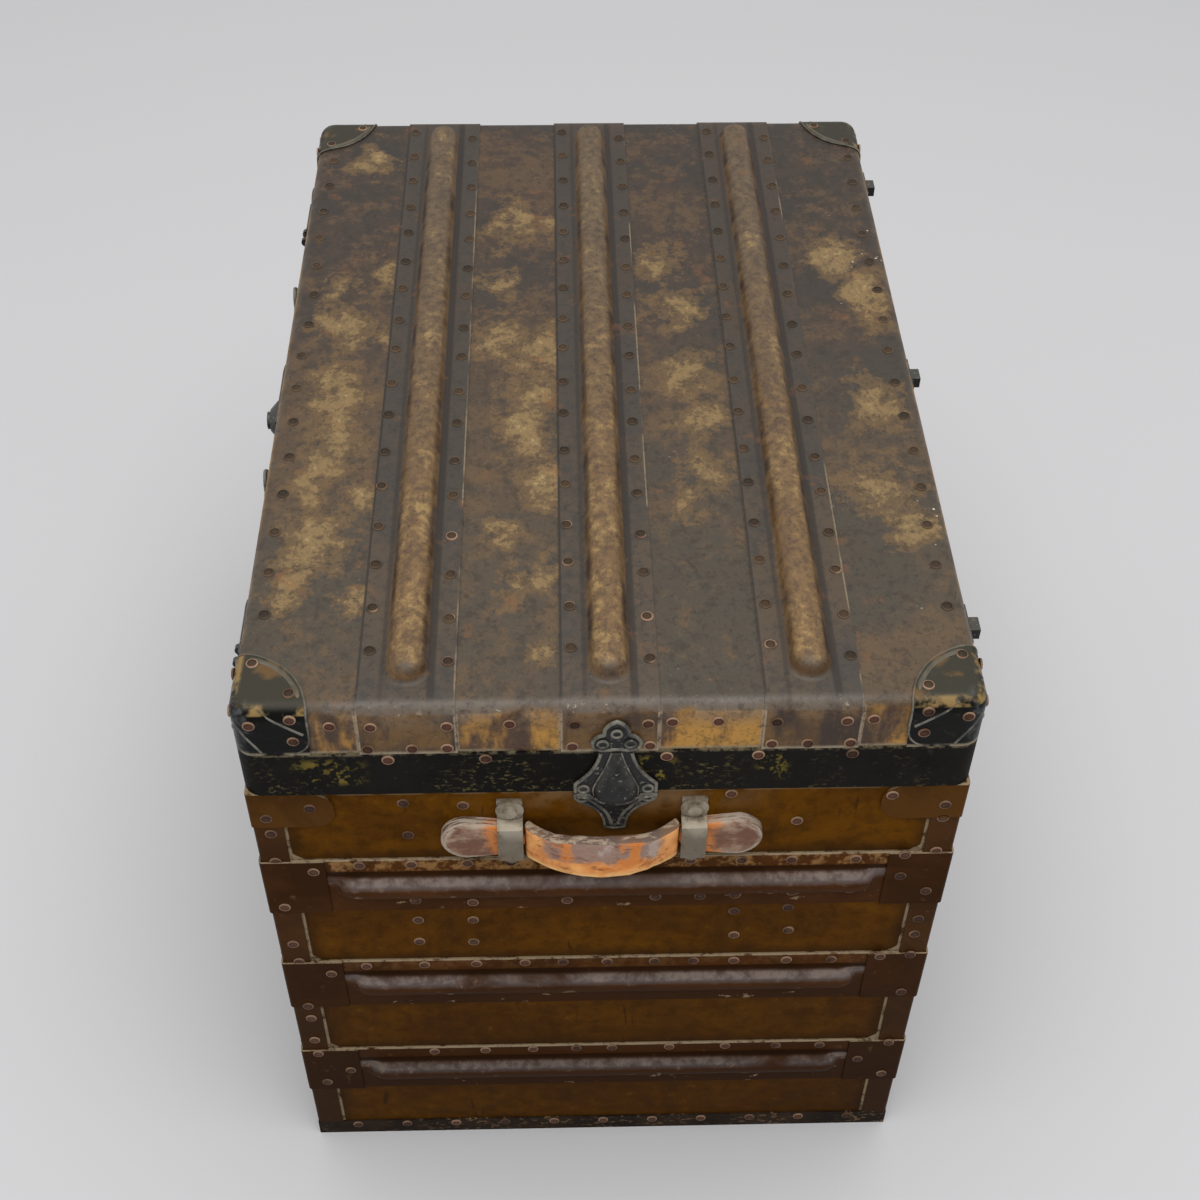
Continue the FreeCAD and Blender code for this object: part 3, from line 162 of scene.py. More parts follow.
class Canvas:
    """A material under the brush."""

    def __init__(self, name: str) -> None:
        """Starts a material whose patterns follow the piece's own coordinates.

        Args:
            name: The material's name.
        """
        self.material = bpy.data.materials.new(name)
        self.material.use_nodes = True
        self.tree = self.material.node_tree
        self.shader = self.tree.nodes["Principled BSDF"]
        where = self.tree.nodes.new("ShaderNodeTexCoord")
        self.place = where.outputs["Object"]
        self.x, self.y, self.z = self.parts(self.place)
        self.lean_z = self.parts(where.outputs["Normal"])[2]
        self.colour: Pattern | None = None

    def parts(self, socket: bpy.types.NodeSocket) -> tuple[Pattern, Pattern, Pattern]:
        """Splits a vector into its three numbers.

        Args:
            socket: The output that carries the vector.

        Returns:
            The numbers.
        """
        node = self.tree.nodes.new("ShaderNodeSeparateXYZ")
        self.tree.links.new(socket, node.inputs[0])
        return tuple(Pattern(self.tree, out) for out in node.outputs)

    def stretched(self, stretch: Sequence[float]) -> bpy.types.NodeSocket:
        """Scales the piece's coordinates.

        Args:
            stretch: The scale along each axis.

        Returns:
            The output that carries them.
        """
        node = self.tree.nodes.new("ShaderNodeMapping")
        node.inputs["Scale"].default_value = stretch
        self.tree.links.new(self.place, node.inputs["Vector"])
        return node.outputs[0]

    def noise(
        self, scale: float, detail: float = 3.0, rough: float = 0.55, stretch: Sequence[float] = (1, 1, 1),
        warp: float = 0.0,
    ) -> Pattern:
        """A cloudy pattern.

        Args:
            scale: Clouds per metre.
            detail: How many finer layers lie over it.
            rough: How strong the finer layers are.
            stretch: Scale along each axis.
            warp: How much the clouds are pulled about.

        Returns:
            A number around a half.
        """
        node = self.tree.nodes.new("ShaderNodeTexNoise")
        node.inputs["Scale"].default_value = scale
        node.inputs["Detail"].default_value = detail
        node.inputs["Roughness"].default_value = rough
        node.inputs["Distortion"].default_value = warp
        self.tree.links.new(self.stretched(stretch), node.inputs["Vector"])
        return Pattern(self.tree, node.outputs[0])

    def chips(self, scale: float, size: float) -> Pattern:
        """Small scattered flecks.

        Args:
            scale: Cells per metre, with one fleck in each.
            size: Radius of a fleck as a share of its cell.

        Returns:
            1 in a fleck and 0 outside.
        """
        node = self.tree.nodes.new("ShaderNodeTexVoronoi")
        node.inputs["Scale"].default_value = scale
        self.tree.links.new(self.place, node.inputs["Vector"])
        return Pattern(self.tree, node.outputs["Distance"]).rise(size, size * 0.6)

    def mix(self, share: Pattern, under: "Pattern | Tint", over: "Pattern | Tint") -> Pattern:
        """Lays one colour over another.

        Args:
            share: How much of the upper colour shows.
            under: The lower colour.
            over: The upper colour.

        Returns:
            The mixed colour.
        """
        node = self.tree.nodes.new("ShaderNodeMix")
        node.data_type = "RGBA"
        self.tree.links.new(share.socket, node.inputs[0])
        for place, colour in ((6, under), (7, over)):
            if isinstance(colour, Pattern):
                self.tree.links.new(colour.socket, node.inputs[place])
            else:
                node.inputs[place].default_value = (*colour, 1.0)
        return Pattern(self.tree, node.outputs[2])

    def ground(self, share: Pattern, under: "Pattern | Tint", over: "Pattern | Tint") -> None:
        """Starts the colour with a mix of two."""
        self.colour = self.mix(share, under, over)

    def lay(self, share: Pattern, over: "Pattern | Tint") -> None:
        """Lays one more colour over what is there."""
        self.colour = self.mix(share, self.colour, over)

    def gloss(self, roughness: Pattern, specular: float = 0.5, hue: Tint = (1, 1, 1)) -> None:
        """Gives the surface its shine.

        Args:
            roughness: How dull it is, place by place.
            specular: How strongly it reflects.
            hue: The colour of its reflections.
        """
        self.tree.links.new(roughness.socket, self.shader.inputs["Roughness"])
        self.shader.inputs["Specular IOR Level"].default_value = specular
        self.shader.inputs["Specular Tint"].default_value = (*hue, 1.0)

    def relief(self, height: Pattern, depth: float, strength: float = 1.0) -> None:
        """Gives the surface its fine bumps.

        Args:
            height: The bumps, from 0 to 1.
            depth: How many metres 1 stands for.
            strength: How much of it shows.
        """
        node = self.tree.nodes.new("ShaderNodeBump")
        node.inputs["Distance"].default_value = depth
        node.inputs["Strength"].default_value = strength
        self.tree.links.new(height.socket, node.inputs["Height"])
        self.tree.links.new(node.outputs[0], self.shader.inputs["Normal"])


# Finishes

class Finish(ABC):
    """A finish that is brushed on a material."""

    name: str

    @abstractmethod
    def brush(self, canvas: Canvas) -> None:
        """Paints the finish."""

    def make(self) -> bpy.types.Material:
        """Builds the material.

        Returns:
            The material, named as the finish is.
        """
        canvas = Canvas(self.name)
        self.brush(canvas)
        canvas.tree.links.new(canvas.colour.socket, canvas.shader.inputs["Base Color"])
        return canvas.material


@dataclass(frozen=True)
class LidFibre(Finish):
    """Worn brown fibre on the lid, rubbed through to tan in patches."""

    name: str = "lid_fibre_worn"
    strip: bool = False
    # Each patch in millimetres: its middle, then its half lengths along and across the lid
    patches: tuple[tuple[float, float, float, float], ...] = (
        (-132, -194, 24, 16), (-57, -226, 31, 20), (-101, -239, 25, 15), (56, -229, 31, 21),
        (84, -224, 34, 23), (123, -235, 33, 23), (-39, -186, 15, 10), (-338, -223, 28, 15),
        (-218, -81, 34, 19), (-209, -48, 20, 12), (-120, -91, 24, 14), (-34, -90, 30, 19),
        (-16, -53, 37, 24), (52, -59, 35, 24), (84, -65, 27, 18), (136, -235, 29, 21),
        (165, -245, 22, 16), (186, -201, 18, 13), (231, -234, 35, 25), (281, -241, 21, 15),
        (296, -191, 16, 12), (164, -52, 28, 20), (218, -81, 14, 10), (279, -74, 20, 15),
        (268, -47, 17, 12), (346, -51, 14, 10), (150, 93, 24, 17), (170, 74, 20, 14),
        (195, 68, 19, 14), (172, 228, 31, 22), (217, 252, 21, 16), (-148, 62, 33, 20),
        (18, 77, 37, 24), (80, 90, 28, 19), (-90, 254, 30, 19), (20, -228, 26, 22),
        (-70, 75, 30, 20), (-150, 235, 30, 18), (60, 240, 26, 18), (118, -55, 22, 18),
    )

    def worn(self, canvas: Canvas) -> Pattern:
        """How deep in a worn patch each point is.

        Args:
            canvas: The material to paint.

        Returns:
            1 in the middle of a patch, 0 at its edge and less outside.
        """
        tree = canvas.tree
        wander = [(canvas.noise(scale, 5.0, 0.68) - 0.5) * 0.075 for scale in (17.0, 23.0)]
        spot = tree.nodes.new("ShaderNodeCombineXYZ")
        for place, value in zip(spot.inputs, (canvas.x + wander[0], canvas.y + wander[1])):
            tree.links.new(value.socket, place)
        nearest = None
        for x, y, along, across in self.patches:
            shift = tree.nodes.new("ShaderNodeMapping")
            shift.vector_type = "TEXTURE"
            shift.inputs["Location"].default_value = (x / 1000, y / 1000, 0)
            shift.inputs["Scale"].default_value = (along / 1000, across / 1000, 1)
            tree.links.new(spot.outputs[0], shift.inputs["Vector"])
            far = tree.nodes.new("ShaderNodeVectorMath")
            far.operation = "LENGTH"
            tree.links.new(shift.outputs[0], far.inputs[0])
            reach = Pattern(tree, far.outputs["Value"])
            nearest = reach if nearest is None else nearest.least(reach)
        return nearest.rest()

    def brush(self, canvas: Canvas) -> None:
        """Paints the finish.

        Args:
            canvas: The material to paint.
        """
        cloud = canvas.noise(5.5, 6.0, 0.6, (1, 0.8, 1), 0.5)
        streak = canvas.noise(24.0, 6.0, 0.68, (1.2, 0.7, 1), 0.3)
        fleck = canvas.noise(120.0, 5.0, 0.72)
        near = canvas.x.rise(-0.25, 0.30)
        warm = canvas.mix(near, tint(66, 51, 40), tint(81, 65, 47))
        if self.strip:
            lift = cloud.rest() + (fleck - 0.5) * 0.5
            canvas.ground(lift.rise(0.40, 0.62) * 0.7, tint(60, 54, 47), warm)
            self.paint_ribs(canvas, near, fleck, streak)
        else:
            grit = canvas.noise(58.0, 6.0, 0.74)
            slate = canvas.mix(near, tint(50, 44, 38), tint(67, 59, 48))
            canvas.ground((cloud + (grit - 0.5) * 0.4).rise(0.42, 0.60), slate, warm)
            tan = (streak + (cloud - 0.5) * 1.1 + (grit - 0.5) * 1.2).rise(0.50, 0.70)
            canvas.lay(tan * 0.5, tint(94, 73, 48))
            self.paint_patches(canvas, grit, fleck, streak)
        ochre = canvas.noise(34.0, 4.0, 0.6).rise(0.60, 0.70) * fleck.rise(0.40, 0.55)
        canvas.lay(ochre * 0.35, tint(116, 72, 36))
        flat = canvas.lean_z.rise(0.35, 0.85)
        canvas.ground(flat, self.upright(canvas, fleck, streak), canvas.colour)
        # Painted sheen: grey streaks on the rounded shoulder at the lid's ends.
        shoulder = canvas.lean_z.within(0.45, 0.88, 0.15) * abs(canvas.x).rise(0.385, 0.394)
        canvas.lay(shoulder * (streak.rise(0.36, 0.60) * 0.8), tint(98, 88, 78))
        specks = canvas.noise(170.0, 3.0, 0.6).rise(0.62, 0.68)
        specks = specks * canvas.noise(22.0, 3.0, 0.6).rise(0.46, 0.58)
        canvas.lay(shoulder * specks * 0.7, tint(186, 174, 152))
        canvas.lay(fleck.rise(0.52, 0.36) * (0.25 if self.strip else 0.45), tint(36, 30, 24))
        pits = canvas.noise(260.0, 3.0, 0.7).rise(0.56, 0.68)
        canvas.lay(pits * 0.5, tint(34, 27, 21))
        canvas.gloss(cloud * 0.3 + fleck * 0.2 + 0.28, 0.40)
        canvas.relief(fleck * 0.6 + streak * 0.6, 0.0009, 0.7)

    def across(self, canvas: Canvas) -> Pattern:
        """The distance backwards from the middle line of the nearest band, which may be below 0."""
        half = TRUNK.lid_pitch / 2
        return (canvas.y - half).repeat(0.0, TRUNK.lid_pitch) - half

    def paint_ribs(self, canvas: Canvas, near: Pattern, fleck: Pattern, streak: Pattern) -> None:
        """Paints golden ribs, painted shade in the grooves beside them and the bands' pale and dark edges.

        Args:
            canvas: The material to paint.
            near: How near the right end each point is.
            fleck: The material's fine noise.
            streak: Its coarse noise.
        """
        across = self.across(canvas)
        drawn = canvas.noise(30.0, 6.0, 0.72, (0.3, 1.2, 1), 0.3)
        rib = (abs(across) + (drawn - 0.5) * 0.012).rise(0.0165, 0.0100)
        rib = rib * abs(canvas.x).rise(0.380, 0.366)
        mottle = (drawn * 0.6 + streak * 0.4 + (fleck - 0.5) * 0.9).rise(0.32, 0.70)
        valley = canvas.mix(near, tint(82, 67, 51), tint(98, 74, 49))
        ridge = canvas.mix(near, tint(108, 88, 62), tint(128, 100, 60))
        canvas.lay(rib * 0.95, canvas.mix(mottle * 0.85, valley, ridge))
        pale = (streak * 0.5 + drawn * 0.5 + (fleck - 0.5) * 0.8 + canvas.x * 0.12).rise(0.55, 0.70)
        canvas.lay(rib * pale * 0.6, tint(152, 126, 80))
        # Painted shade in the grooves beside each rib.
        painted_groove_shade = across.within(0.0165, 0.0200, 0.0025) + across.within(-0.0195, -0.0175, 0.0015) * 0.6
        canvas.lay(painted_groove_shade * 0.75, tint(34, 26, 20))
        long_dash = canvas.noise(9.0, 3.0, 0.6).rise(0.46, 0.56)
        canvas.lay(across.rise(0.0350, 0.0356) * long_dash * 0.7, tint(132, 118, 94))
        canvas.lay(across.rise(-0.0344, -0.0352) * 0.8, tint(30, 26, 22))

    def paint_patches(self, canvas: Canvas, grit: Pattern, fleck: Pattern, streak: Pattern) -> None:
        """Paints the patches that are rubbed through to tan, and the scuffs along the long edges.

        Args:
            canvas: The material to paint.
            grit: The material's middling noise.
            fleck: Its fine noise.
            streak: Its coarse noise.
        """
        soft = self.worn(canvas) + (streak - 0.5) * 2.2 + (grit - 0.5) * 3.4
        soft = soft + canvas.y.rise(-0.12, 0.10) * -0.2 + canvas.y.rise(0.16, 0.20) * 0.35
        canvas.lay(soft.rise(-0.40, 0.0) * 0.65, tint(102, 79, 49))
        canvas.lay(soft.rise(0.26, 0.60) * 0.72, tint(132, 108, 69))
        canvas.lay((soft + (fleck - 0.5) * 3.0).rise(1.1, 1.55) * 0.6, tint(162, 143, 100))
        long_edge = abs(canvas.y).rise(0.2690, 0.2765)
        canvas.lay(long_edge * streak.rise(0.36, 0.56) * 0.6, tint(88, 80, 68))
        chips = canvas.chips(150.0, 0.20) * canvas.noise(20.0, 3.0, 0.6).rise(0.58, 0.66)
        canvas.lay(chips * (canvas.y.rise(0.20, 0.265) * 0.9 + 0.1), tint(200, 192, 176))

    def upright(self, canvas: Canvas, fleck: Pattern, streak: Pattern) -> Pattern:
        """Colour of the lid's upright faces: brown and golden brown, with pale grey at the top that is
        partly smears and partly a painted highlight.

        Args:
            canvas: The material to paint.
            fleck: Its fine noise.
            streak: Its coarse noise.

        Returns:
            The colour.
        """
        drip = canvas.noise(30.0, 4.0, 0.6, (1, 1, 0.3))
        gold = drip.rise(0.60, 0.46) * (0.25 if self.strip else 0.95)
        side = canvas.mix(gold, tint(52, 34, 22) if self.strip else tint(80, 54, 33), tint(184, 134, 54))
        side = canvas.mix(streak.rise(0.54, 0.40) * 0.55, side, tint(58, 40, 28))
        # Pale grey at the top of the upright faces: partly smears, partly a painted highlight.
        smear_and_highlight = canvas.z.rise(0.608, 0.632) * streak.rise(0.40, 0.60)
        side = canvas.mix(smear_and_highlight * (0.35 if self.strip else 0.7), side, tint(118, 102, 88))
        side = canvas.mix(fleck.rise(0.58, 0.74) * 0.4, side, tint(140, 116, 92))
        beside = abs(self.across(canvas))
        seam = beside.rise(0.0346, 0.0356) if self.strip else beside.within(0.0365, 0.0378, 0.0008)
        side = canvas.mix(seam * fleck.rise(0.30, 0.50) * 0.8, side, tint(160, 142, 118))
        foot = canvas.z.rise(0.5935, 0.5905) * canvas.noise(40.0, 3.0).rise(0.35, 0.50)
        return canvas.mix(foot * 0.85, side, tint(150, 136, 112))


@dataclass(frozen=True)
class PanelFibre(Finish):
    """Varnished golden-brown fibre on the body, darker lower down, with painted shade and dust along the
    bands and strips.
    """

    name: str = "body_fibre_varnished"
    longer: float = 0.126  # how much farther out the ends are than the front and back

    def brush(self, canvas: Canvas) -> None:
        """Paints the finish.

        Args:
            canvas: The material to paint.
        """
        cloud = canvas.noise(7.0, 5.0, 0.6, (1, 1, 1.8), 0.5)
        fleck = canvas.noise(70.0, 5.0, 0.7)
        drip = canvas.noise(26.0, 3.0, 0.6, (1, 1, 0.18))
        canvas.ground(canvas.z.rise(0.05, 0.52), tint(76, 46, 8), tint(98, 60, 6))
        canvas.lay(cloud.rise(0.60, 0.38) * 0.55, tint(58, 32, 6))
        canvas.lay(fleck.rise(0.56, 0.36) * 0.4, tint(42, 24, 4))
        canvas.lay(drip.rise(0.56, 0.72) * 0.35, tint(50, 30, 12))
        canvas.lay(fleck.rise(0.58, 0.74) * 0.3, tint(124, 84, 28))
        level = canvas.z.repeat(TRUNK.band_levels[-1] + TRUNK.band_width / 2, TRUNK.band_pitch)
        beside = abs(canvas.y).least(abs(canvas.x) - self.longer) + level.rise(0.010, 0.0) * 0.009
        # Painted shade along the bands' edges and beside the corner strips.
        shade = level.rise(0.018, 0.0).most(beside.rise(0.236, 0.254))
        shade = shade.most(level.rise(0.118, TRUNK.band_pitch) * 0.7)
        canvas.lay(shade * 0.6, tint(34, 20, 10))
        dust = level.rise(0.0022, 0.0010).most(beside.rise(0.2514, 0.2524))
        dust = dust * canvas.z.rise(0.505, 0.49) * fleck.rise(0.34, 0.54)
        canvas.lay(dust * 0.8, tint(148, 132, 106))
        rim = canvas.z.rise(0.5350, 0.5385) * canvas.noise(40.0, 3.0).rise(0.40, 0.55)
        canvas.lay(rim * 0.85, tint(140, 120, 90))
        rubbed = canvas.z.rise(0.500, 0.530) * abs(canvas.y).rise(0.15, 0.04)
        canvas.lay(rubbed * canvas.noise(20.0, 4.0).rise(0.42, 0.62) * 0.6, tint(132, 104, 74))
        scratch = canvas.noise(60.0, 2.0, 0.5, (1, 1, 0.12), 1.5).rise(0.66, 0.70) * cloud.rise(0.48, 0.56)
        canvas.lay(scratch * 0.6, tint(40, 24, 10))
        canvas.gloss(cloud * 0.25 + fleck * 0.15 + 0.22, 0.02, tint(240, 170, 90))
        canvas.relief(fleck * 0.4 + cloud, 0.0012, 0.4)


class BandPart(Enum):
    """Which fibre piece a finish is for: its name, its colour and whether it carries ribs."""

    BAND = ("band_fibre_pressed", (82, 48, 20), True)
    WRAP = ("band_fibre_wraps", (66, 38, 14), False)
    STRIP = ("band_fibre_strips", (76, 48, 24), False)
    RIM = ("band_fibre_rim", (88, 56, 20), False)


@dataclass(frozen=True)
class BandFibre(Finish):
    """Dark red-brown fibre of the bands, wraps and strips, rubbed pale on its upper edges, with painted
    sheen and shade on the ribs.
    """

    part: BandPart

    @property
    def name(self) -> str:
        """The material's name."""
        return self.part.value[0]

    def brush(self, canvas: Canvas) -> None:
        """Paints the finish.

        Args:
            canvas: The material to paint.
        """
        _, colour, ribbed = self.part.value
        cloud = canvas.noise(11.0, 5.0, 0.6, (1, 1, 1.5), 0.5)
        fleck = canvas.noise(90.0, 5.0, 0.7)
        dark = tuple(c * 0.38 for c in tint(*colour))
        canvas.ground(canvas.z.rise(0.02, 0.46) * 0.7 + 0.15, dark, tint(*colour))
        canvas.lay(cloud.rise(0.60, 0.38) * 0.6, dark)
        canvas.lay(fleck.rise(0.60, 0.78) * 0.5, tint(112, 80, 52))
        up = canvas.lean_z.rise(0.5, 0.9) * fleck.rise(0.30, 0.52)
        if ribbed:
            half = TRUNK.band_pitch / 2
            level = (canvas.z - TRUNK.band_levels[-1]).repeat(-half, TRUNK.band_pitch) - half
            self.paint_ribs(canvas, level, cloud, fleck)
            up = up * level.rise(0.028, 0.033)
        canvas.lay(up * 0.85, tint(150, 132, 106))
        canvas.gloss(cloud * 0.25 + fleck * 0.2 + 0.16, 0.025, tint(255, 190, 110))
        canvas.relief(fleck * 0.4 + cloud, 0.0012, 0.4)

    def paint_ribs(self, canvas: Canvas, level: Pattern, cloud: Pattern, fleck: Pattern) -> None:
        """Paints a painted sheen and crest highlight on the ribs, painted shade on their lower halves and in
        the groove at their upper foot, and the bands' worn upper edges.

        Args:
            canvas: The material to paint.
            level: Height above the middle line of the nearest band.
            cloud: The material's broad noise.
            fleck: Its fine noise.
        """
        # Painted shade on the lower half of each rib and below it, stronger on the lower bands.
        under = level.rise(0.004, -0.008) * canvas.z.rise(0.50, 0.20)
        canvas.lay(under * 0.5, tint(40, 24, 12))
        # Painted sheen: grey on the upper half of each rib with pale flecks, and a lighter painted highlight
        # along its crest.
        painted_sheen = (level + (fleck - 0.5) * 0.007).within(0.0070, 0.0095, 0.0065)
        grey = canvas.mix(canvas.z.rise(0.10, 0.42), tint(74, 65, 62), tint(98, 86, 82))
        canvas.lay(painted_sheen * cloud.rise(0.26, 0.46) * 0.9, grey)
        canvas.lay(painted_sheen * fleck.rise(0.54, 0.70) * 0.55, tint(140, 112, 90))
        painted_crest_highlight = level.within(0.0090, 0.0130, 0.0030) * fleck.rise(0.36, 0.60) * canvas.z.rise(-0.20, 0.44)
        canvas.lay(painted_crest_highlight * cloud.rise(0.34, 0.52) * 0.75, tint(130, 119, 113))
        golden = level.rise(0.0185, 0.0225) * canvas.z.rise(0.25, 0.44) * fleck.rise(0.44, 0.60)
        canvas.lay(golden * 0.8, tint(148, 110, 68))
        # Painted shade: a dark line in the groove at each rib's upper foot.
        canvas.lay(level.within(0.0150, 0.0190, 0.002) * 0.7, tint(20, 12, 8))
        canvas.lay(level.rise(0.0336, 0.0345) * fleck.rise(0.34, 0.54) * 0.8, tint(146, 132, 110))
        flake = canvas.noise(46.0, 4.0, 0.7, (1, 1, 2.2)).rise(0.62, 0.68) * level.rise(0.0, -0.012)
        canvas.lay(flake * 0.8, tint(146, 124, 98))


@dataclass(frozen=True)
class Ironwork:
    """The look of one kind of ironwork: its paint, its rust or scuffs, and its shine."""

    name: str
    paint: tuple[int, int, int]
    scuffs: tuple[int, int, int]
    specular: float
    dull: float
    spread: Spot = (0.50, 0.62)  # noise values between which the scuffs come in


class IronPart(Enum):
    """Which ironwork a finish is for."""

    FITTING = Ironwork("black_iron_fittings", (20, 20, 19), (104, 98, 82), 0.30, 0.16)
    BINDING = Ironwork("black_iron_binding", (24, 22, 18), (92, 82, 50), 0.07, 0.35, (0.47, 0.60))
    FOOT = Ironwork("black_iron_foot", (48, 36, 26), (112, 88, 64), 0.06, 0.35, (0.36, 0.52))
    CORNER = Ironwork("black_iron_corners", (14, 14, 12), (92, 84, 66), 0.09, 0.08)


@dataclass(frozen=True)
class BlackIron(Finish):
    """Black painted iron, scuffed, with painted grey highlights on the fittings' upward faces and painted
    glints on the fittings.
    """

    part: IronPart
    # Spots where the binding on the near end is chipped to ochre: the place across, and how wide
    chipped: tuple[Spot, ...] = ((0.034, 0.022), (0.124, 0.016), (-0.212, 0.034))

    @property
    def name(self) -> str:
        """The material's name."""
        return self.part.value.name

    def brush(self, canvas: Canvas) -> None:
        """Paints the finish.

        Args:
            canvas: The material to paint.
        """
        iron = self.part.value
        cloud = canvas.noise(16.0, 4.0, 0.6)
        fleck = canvas.noise(110.0, 5.0, 0.7)
        dark = tuple(c * 0.4 for c in tint(*iron.paint))
        canvas.ground(cloud.rise(0.36, 0.66), dark, tint(*iron.paint))
        canvas.lay(fleck.rise(0.58, 0.72) * 0.5, tint(66, 65, 60))
        if self.part is IronPart.FITTING:
            # Painted highlight: fitting faces that lean upwards turn grey, and fine pale specks are painted
            # glints.
            worn = (canvas.lean_z + (fleck - 0.5) * 0.5).rise(0.10, 0.42)
            canvas.lay(worn * 0.75, tint(74, 73, 67))
            canvas.lay(canvas.noise(300.0, 3.0, 0.6).rise(0.62, 0.70) * 0.7, tint(140, 138, 128))
        spots = canvas.noise(11.0, 3.0).rise(*iron.spread)
        spots = spots * canvas.noise(150.0, 4.0, 0.7, (1, 1, 1.8)).rise(0.55, 0.62)
        canvas.lay(spots * 0.9, tint(*iron.scuffs))
        if self.part is IronPart.BINDING:
            self.paint_binding(canvas, fleck)
        if self.part is IronPart.CORNER:
            self.paint_corner(canvas, fleck)
        canvas.gloss(cloud * 0.3 + fleck * 0.25 + iron.dull, iron.specular)
        canvas.relief(fleck * 0.5 + cloud, 0.0012, 0.6)

    def paint_binding(self, canvas: Canvas, fleck: Pattern) -> None:
        """Paints the binding's ochre chips and its dusty upper edge.

        Args:
            canvas: The material to paint.
            fleck: Its fine noise.
        """
        for y, wide in self.chipped:
            where = abs(canvas.y - y).rise(wide, wide * 0.3) * canvas.x.rise(0.39, 0.40)
            where = where * canvas.z.within(0.558, 0.578, 0.008)
            canvas.lay(where * canvas.noise(95.0, 4.0, 0.7).rise(0.50, 0.60), tint(106, 92, 40))
        canvas.lay(canvas.z.rise(0.5862, 0.5885) * fleck.rise(0.44, 0.58) * 0.7, tint(120, 108, 84))

    def paint_corner(self, canvas: Canvas, fleck: Pattern) -> None:
        """Paints a cap's rubbed top, its golden folds, a painted bluish-grey sheen on its knob and its dusty
        foot.

        Args:
            canvas: The material to paint.
            fleck: Its fine noise.
        """
        top = canvas.lean_z.rise(0.6, 0.95)
        canvas.lay(top * 0.85, tint(62, 59, 50))
        worn = canvas.noise(30.0, 4.0).rise(0.57, 0.66) * top
        canvas.lay(worn * 0.6, tint(112, 84, 50))
        fold = canvas.lean_z.within(0.50, 0.86, 0.12) * canvas.noise(34.0, 4.0, 0.65).rise(0.46, 0.58)
        canvas.lay(fold * 0.85, tint(140, 116, 74))
        # Painted sheen: bluish grey on the rounded knob at the corner.
        knob_sheen = abs(canvas.x).rise(0.386, 0.397) * abs(canvas.y).rise(0.260, 0.271)
        canvas.lay(knob_sheen * fleck.rise(0.46, 0.64) * 0.6, tint(84, 87, 90))
        foot = canvas.z.rise(0.5935, 0.5905) * canvas.noise(40.0, 3.0).rise(0.38, 0.52)
        canvas.lay(foot * 0.8, tint(146, 134, 112))


@dataclass(frozen=True)
class RubbedEdge(Finish):
    """Grey rims and ridges of the black ironwork: worn grey with painted highlights on them."""

    name: str = "black_iron_rims"
    tanned: bool = False

    def brush(self, canvas: Canvas) -> None:
        """Paints the finish.

        Args:
            canvas: The material to paint.
        """
        cloud = canvas.noise(60.0, 4.0, 0.65)
        canvas.ground(cloud.rise(0.38, 0.60), tint(52, 51, 46), tint(112, 109, 98))
        canvas.lay(canvas.noise(200.0, 3.0).rise(0.58, 0.70) * 0.6, tint(150, 138, 114))
        if self.tanned:
            top = canvas.lean_z.rise(0.4, 0.8)
            canvas.lay(top * 0.8, tint(74, 66, 50))
            canvas.lay(top * canvas.noise(24.0, 4.0, 0.6).rise(0.48, 0.60) * 0.8, tint(112, 84, 52))
        canvas.gloss(cloud * 0.4 + 0.25, 0.5)
        canvas.relief(cloud, 0.0006, 0.5)


@dataclass(frozen=True)
class WornSteel(Finish):
    """Grey steel of the loops, washers and pins, dull with brown stains."""

    name: str = "worn_steel_grey"

    def brush(self, canvas: Canvas) -> None:
        """Paints the finish.

        Args:
            canvas: The material to paint.
        """
        cloud = canvas.noise(45.0, 4.0, 0.6)
        scratch = canvas.noise(160.0, 4.0, 0.7, (1, 1, 0.3))
        canvas.ground(cloud.rise(0.38, 0.62), tint(116, 102, 84), tint(164, 154, 136))
        canvas.lay(canvas.z.rise(0.505, 0.488) * cloud.rise(0.36, 0.54) * 0.6, tint(78, 66, 50))
        canvas.lay(scratch.rise(0.60, 0.72) * 0.6, tint(60, 44, 32))
        canvas.shader.inputs["Metallic"].default_value = 0.5
        canvas.gloss(cloud * 0.3 + scratch * 0.2 + 0.24)
        canvas.relief(scratch + cloud, 0.0006, 0.4)


class Hide(Enum):
    """Which leather a finish is for: the rubbed grip or the dark ends."""

    GRIP = "tan_leather_rubbed"
    END = "dark_leather_cracked"


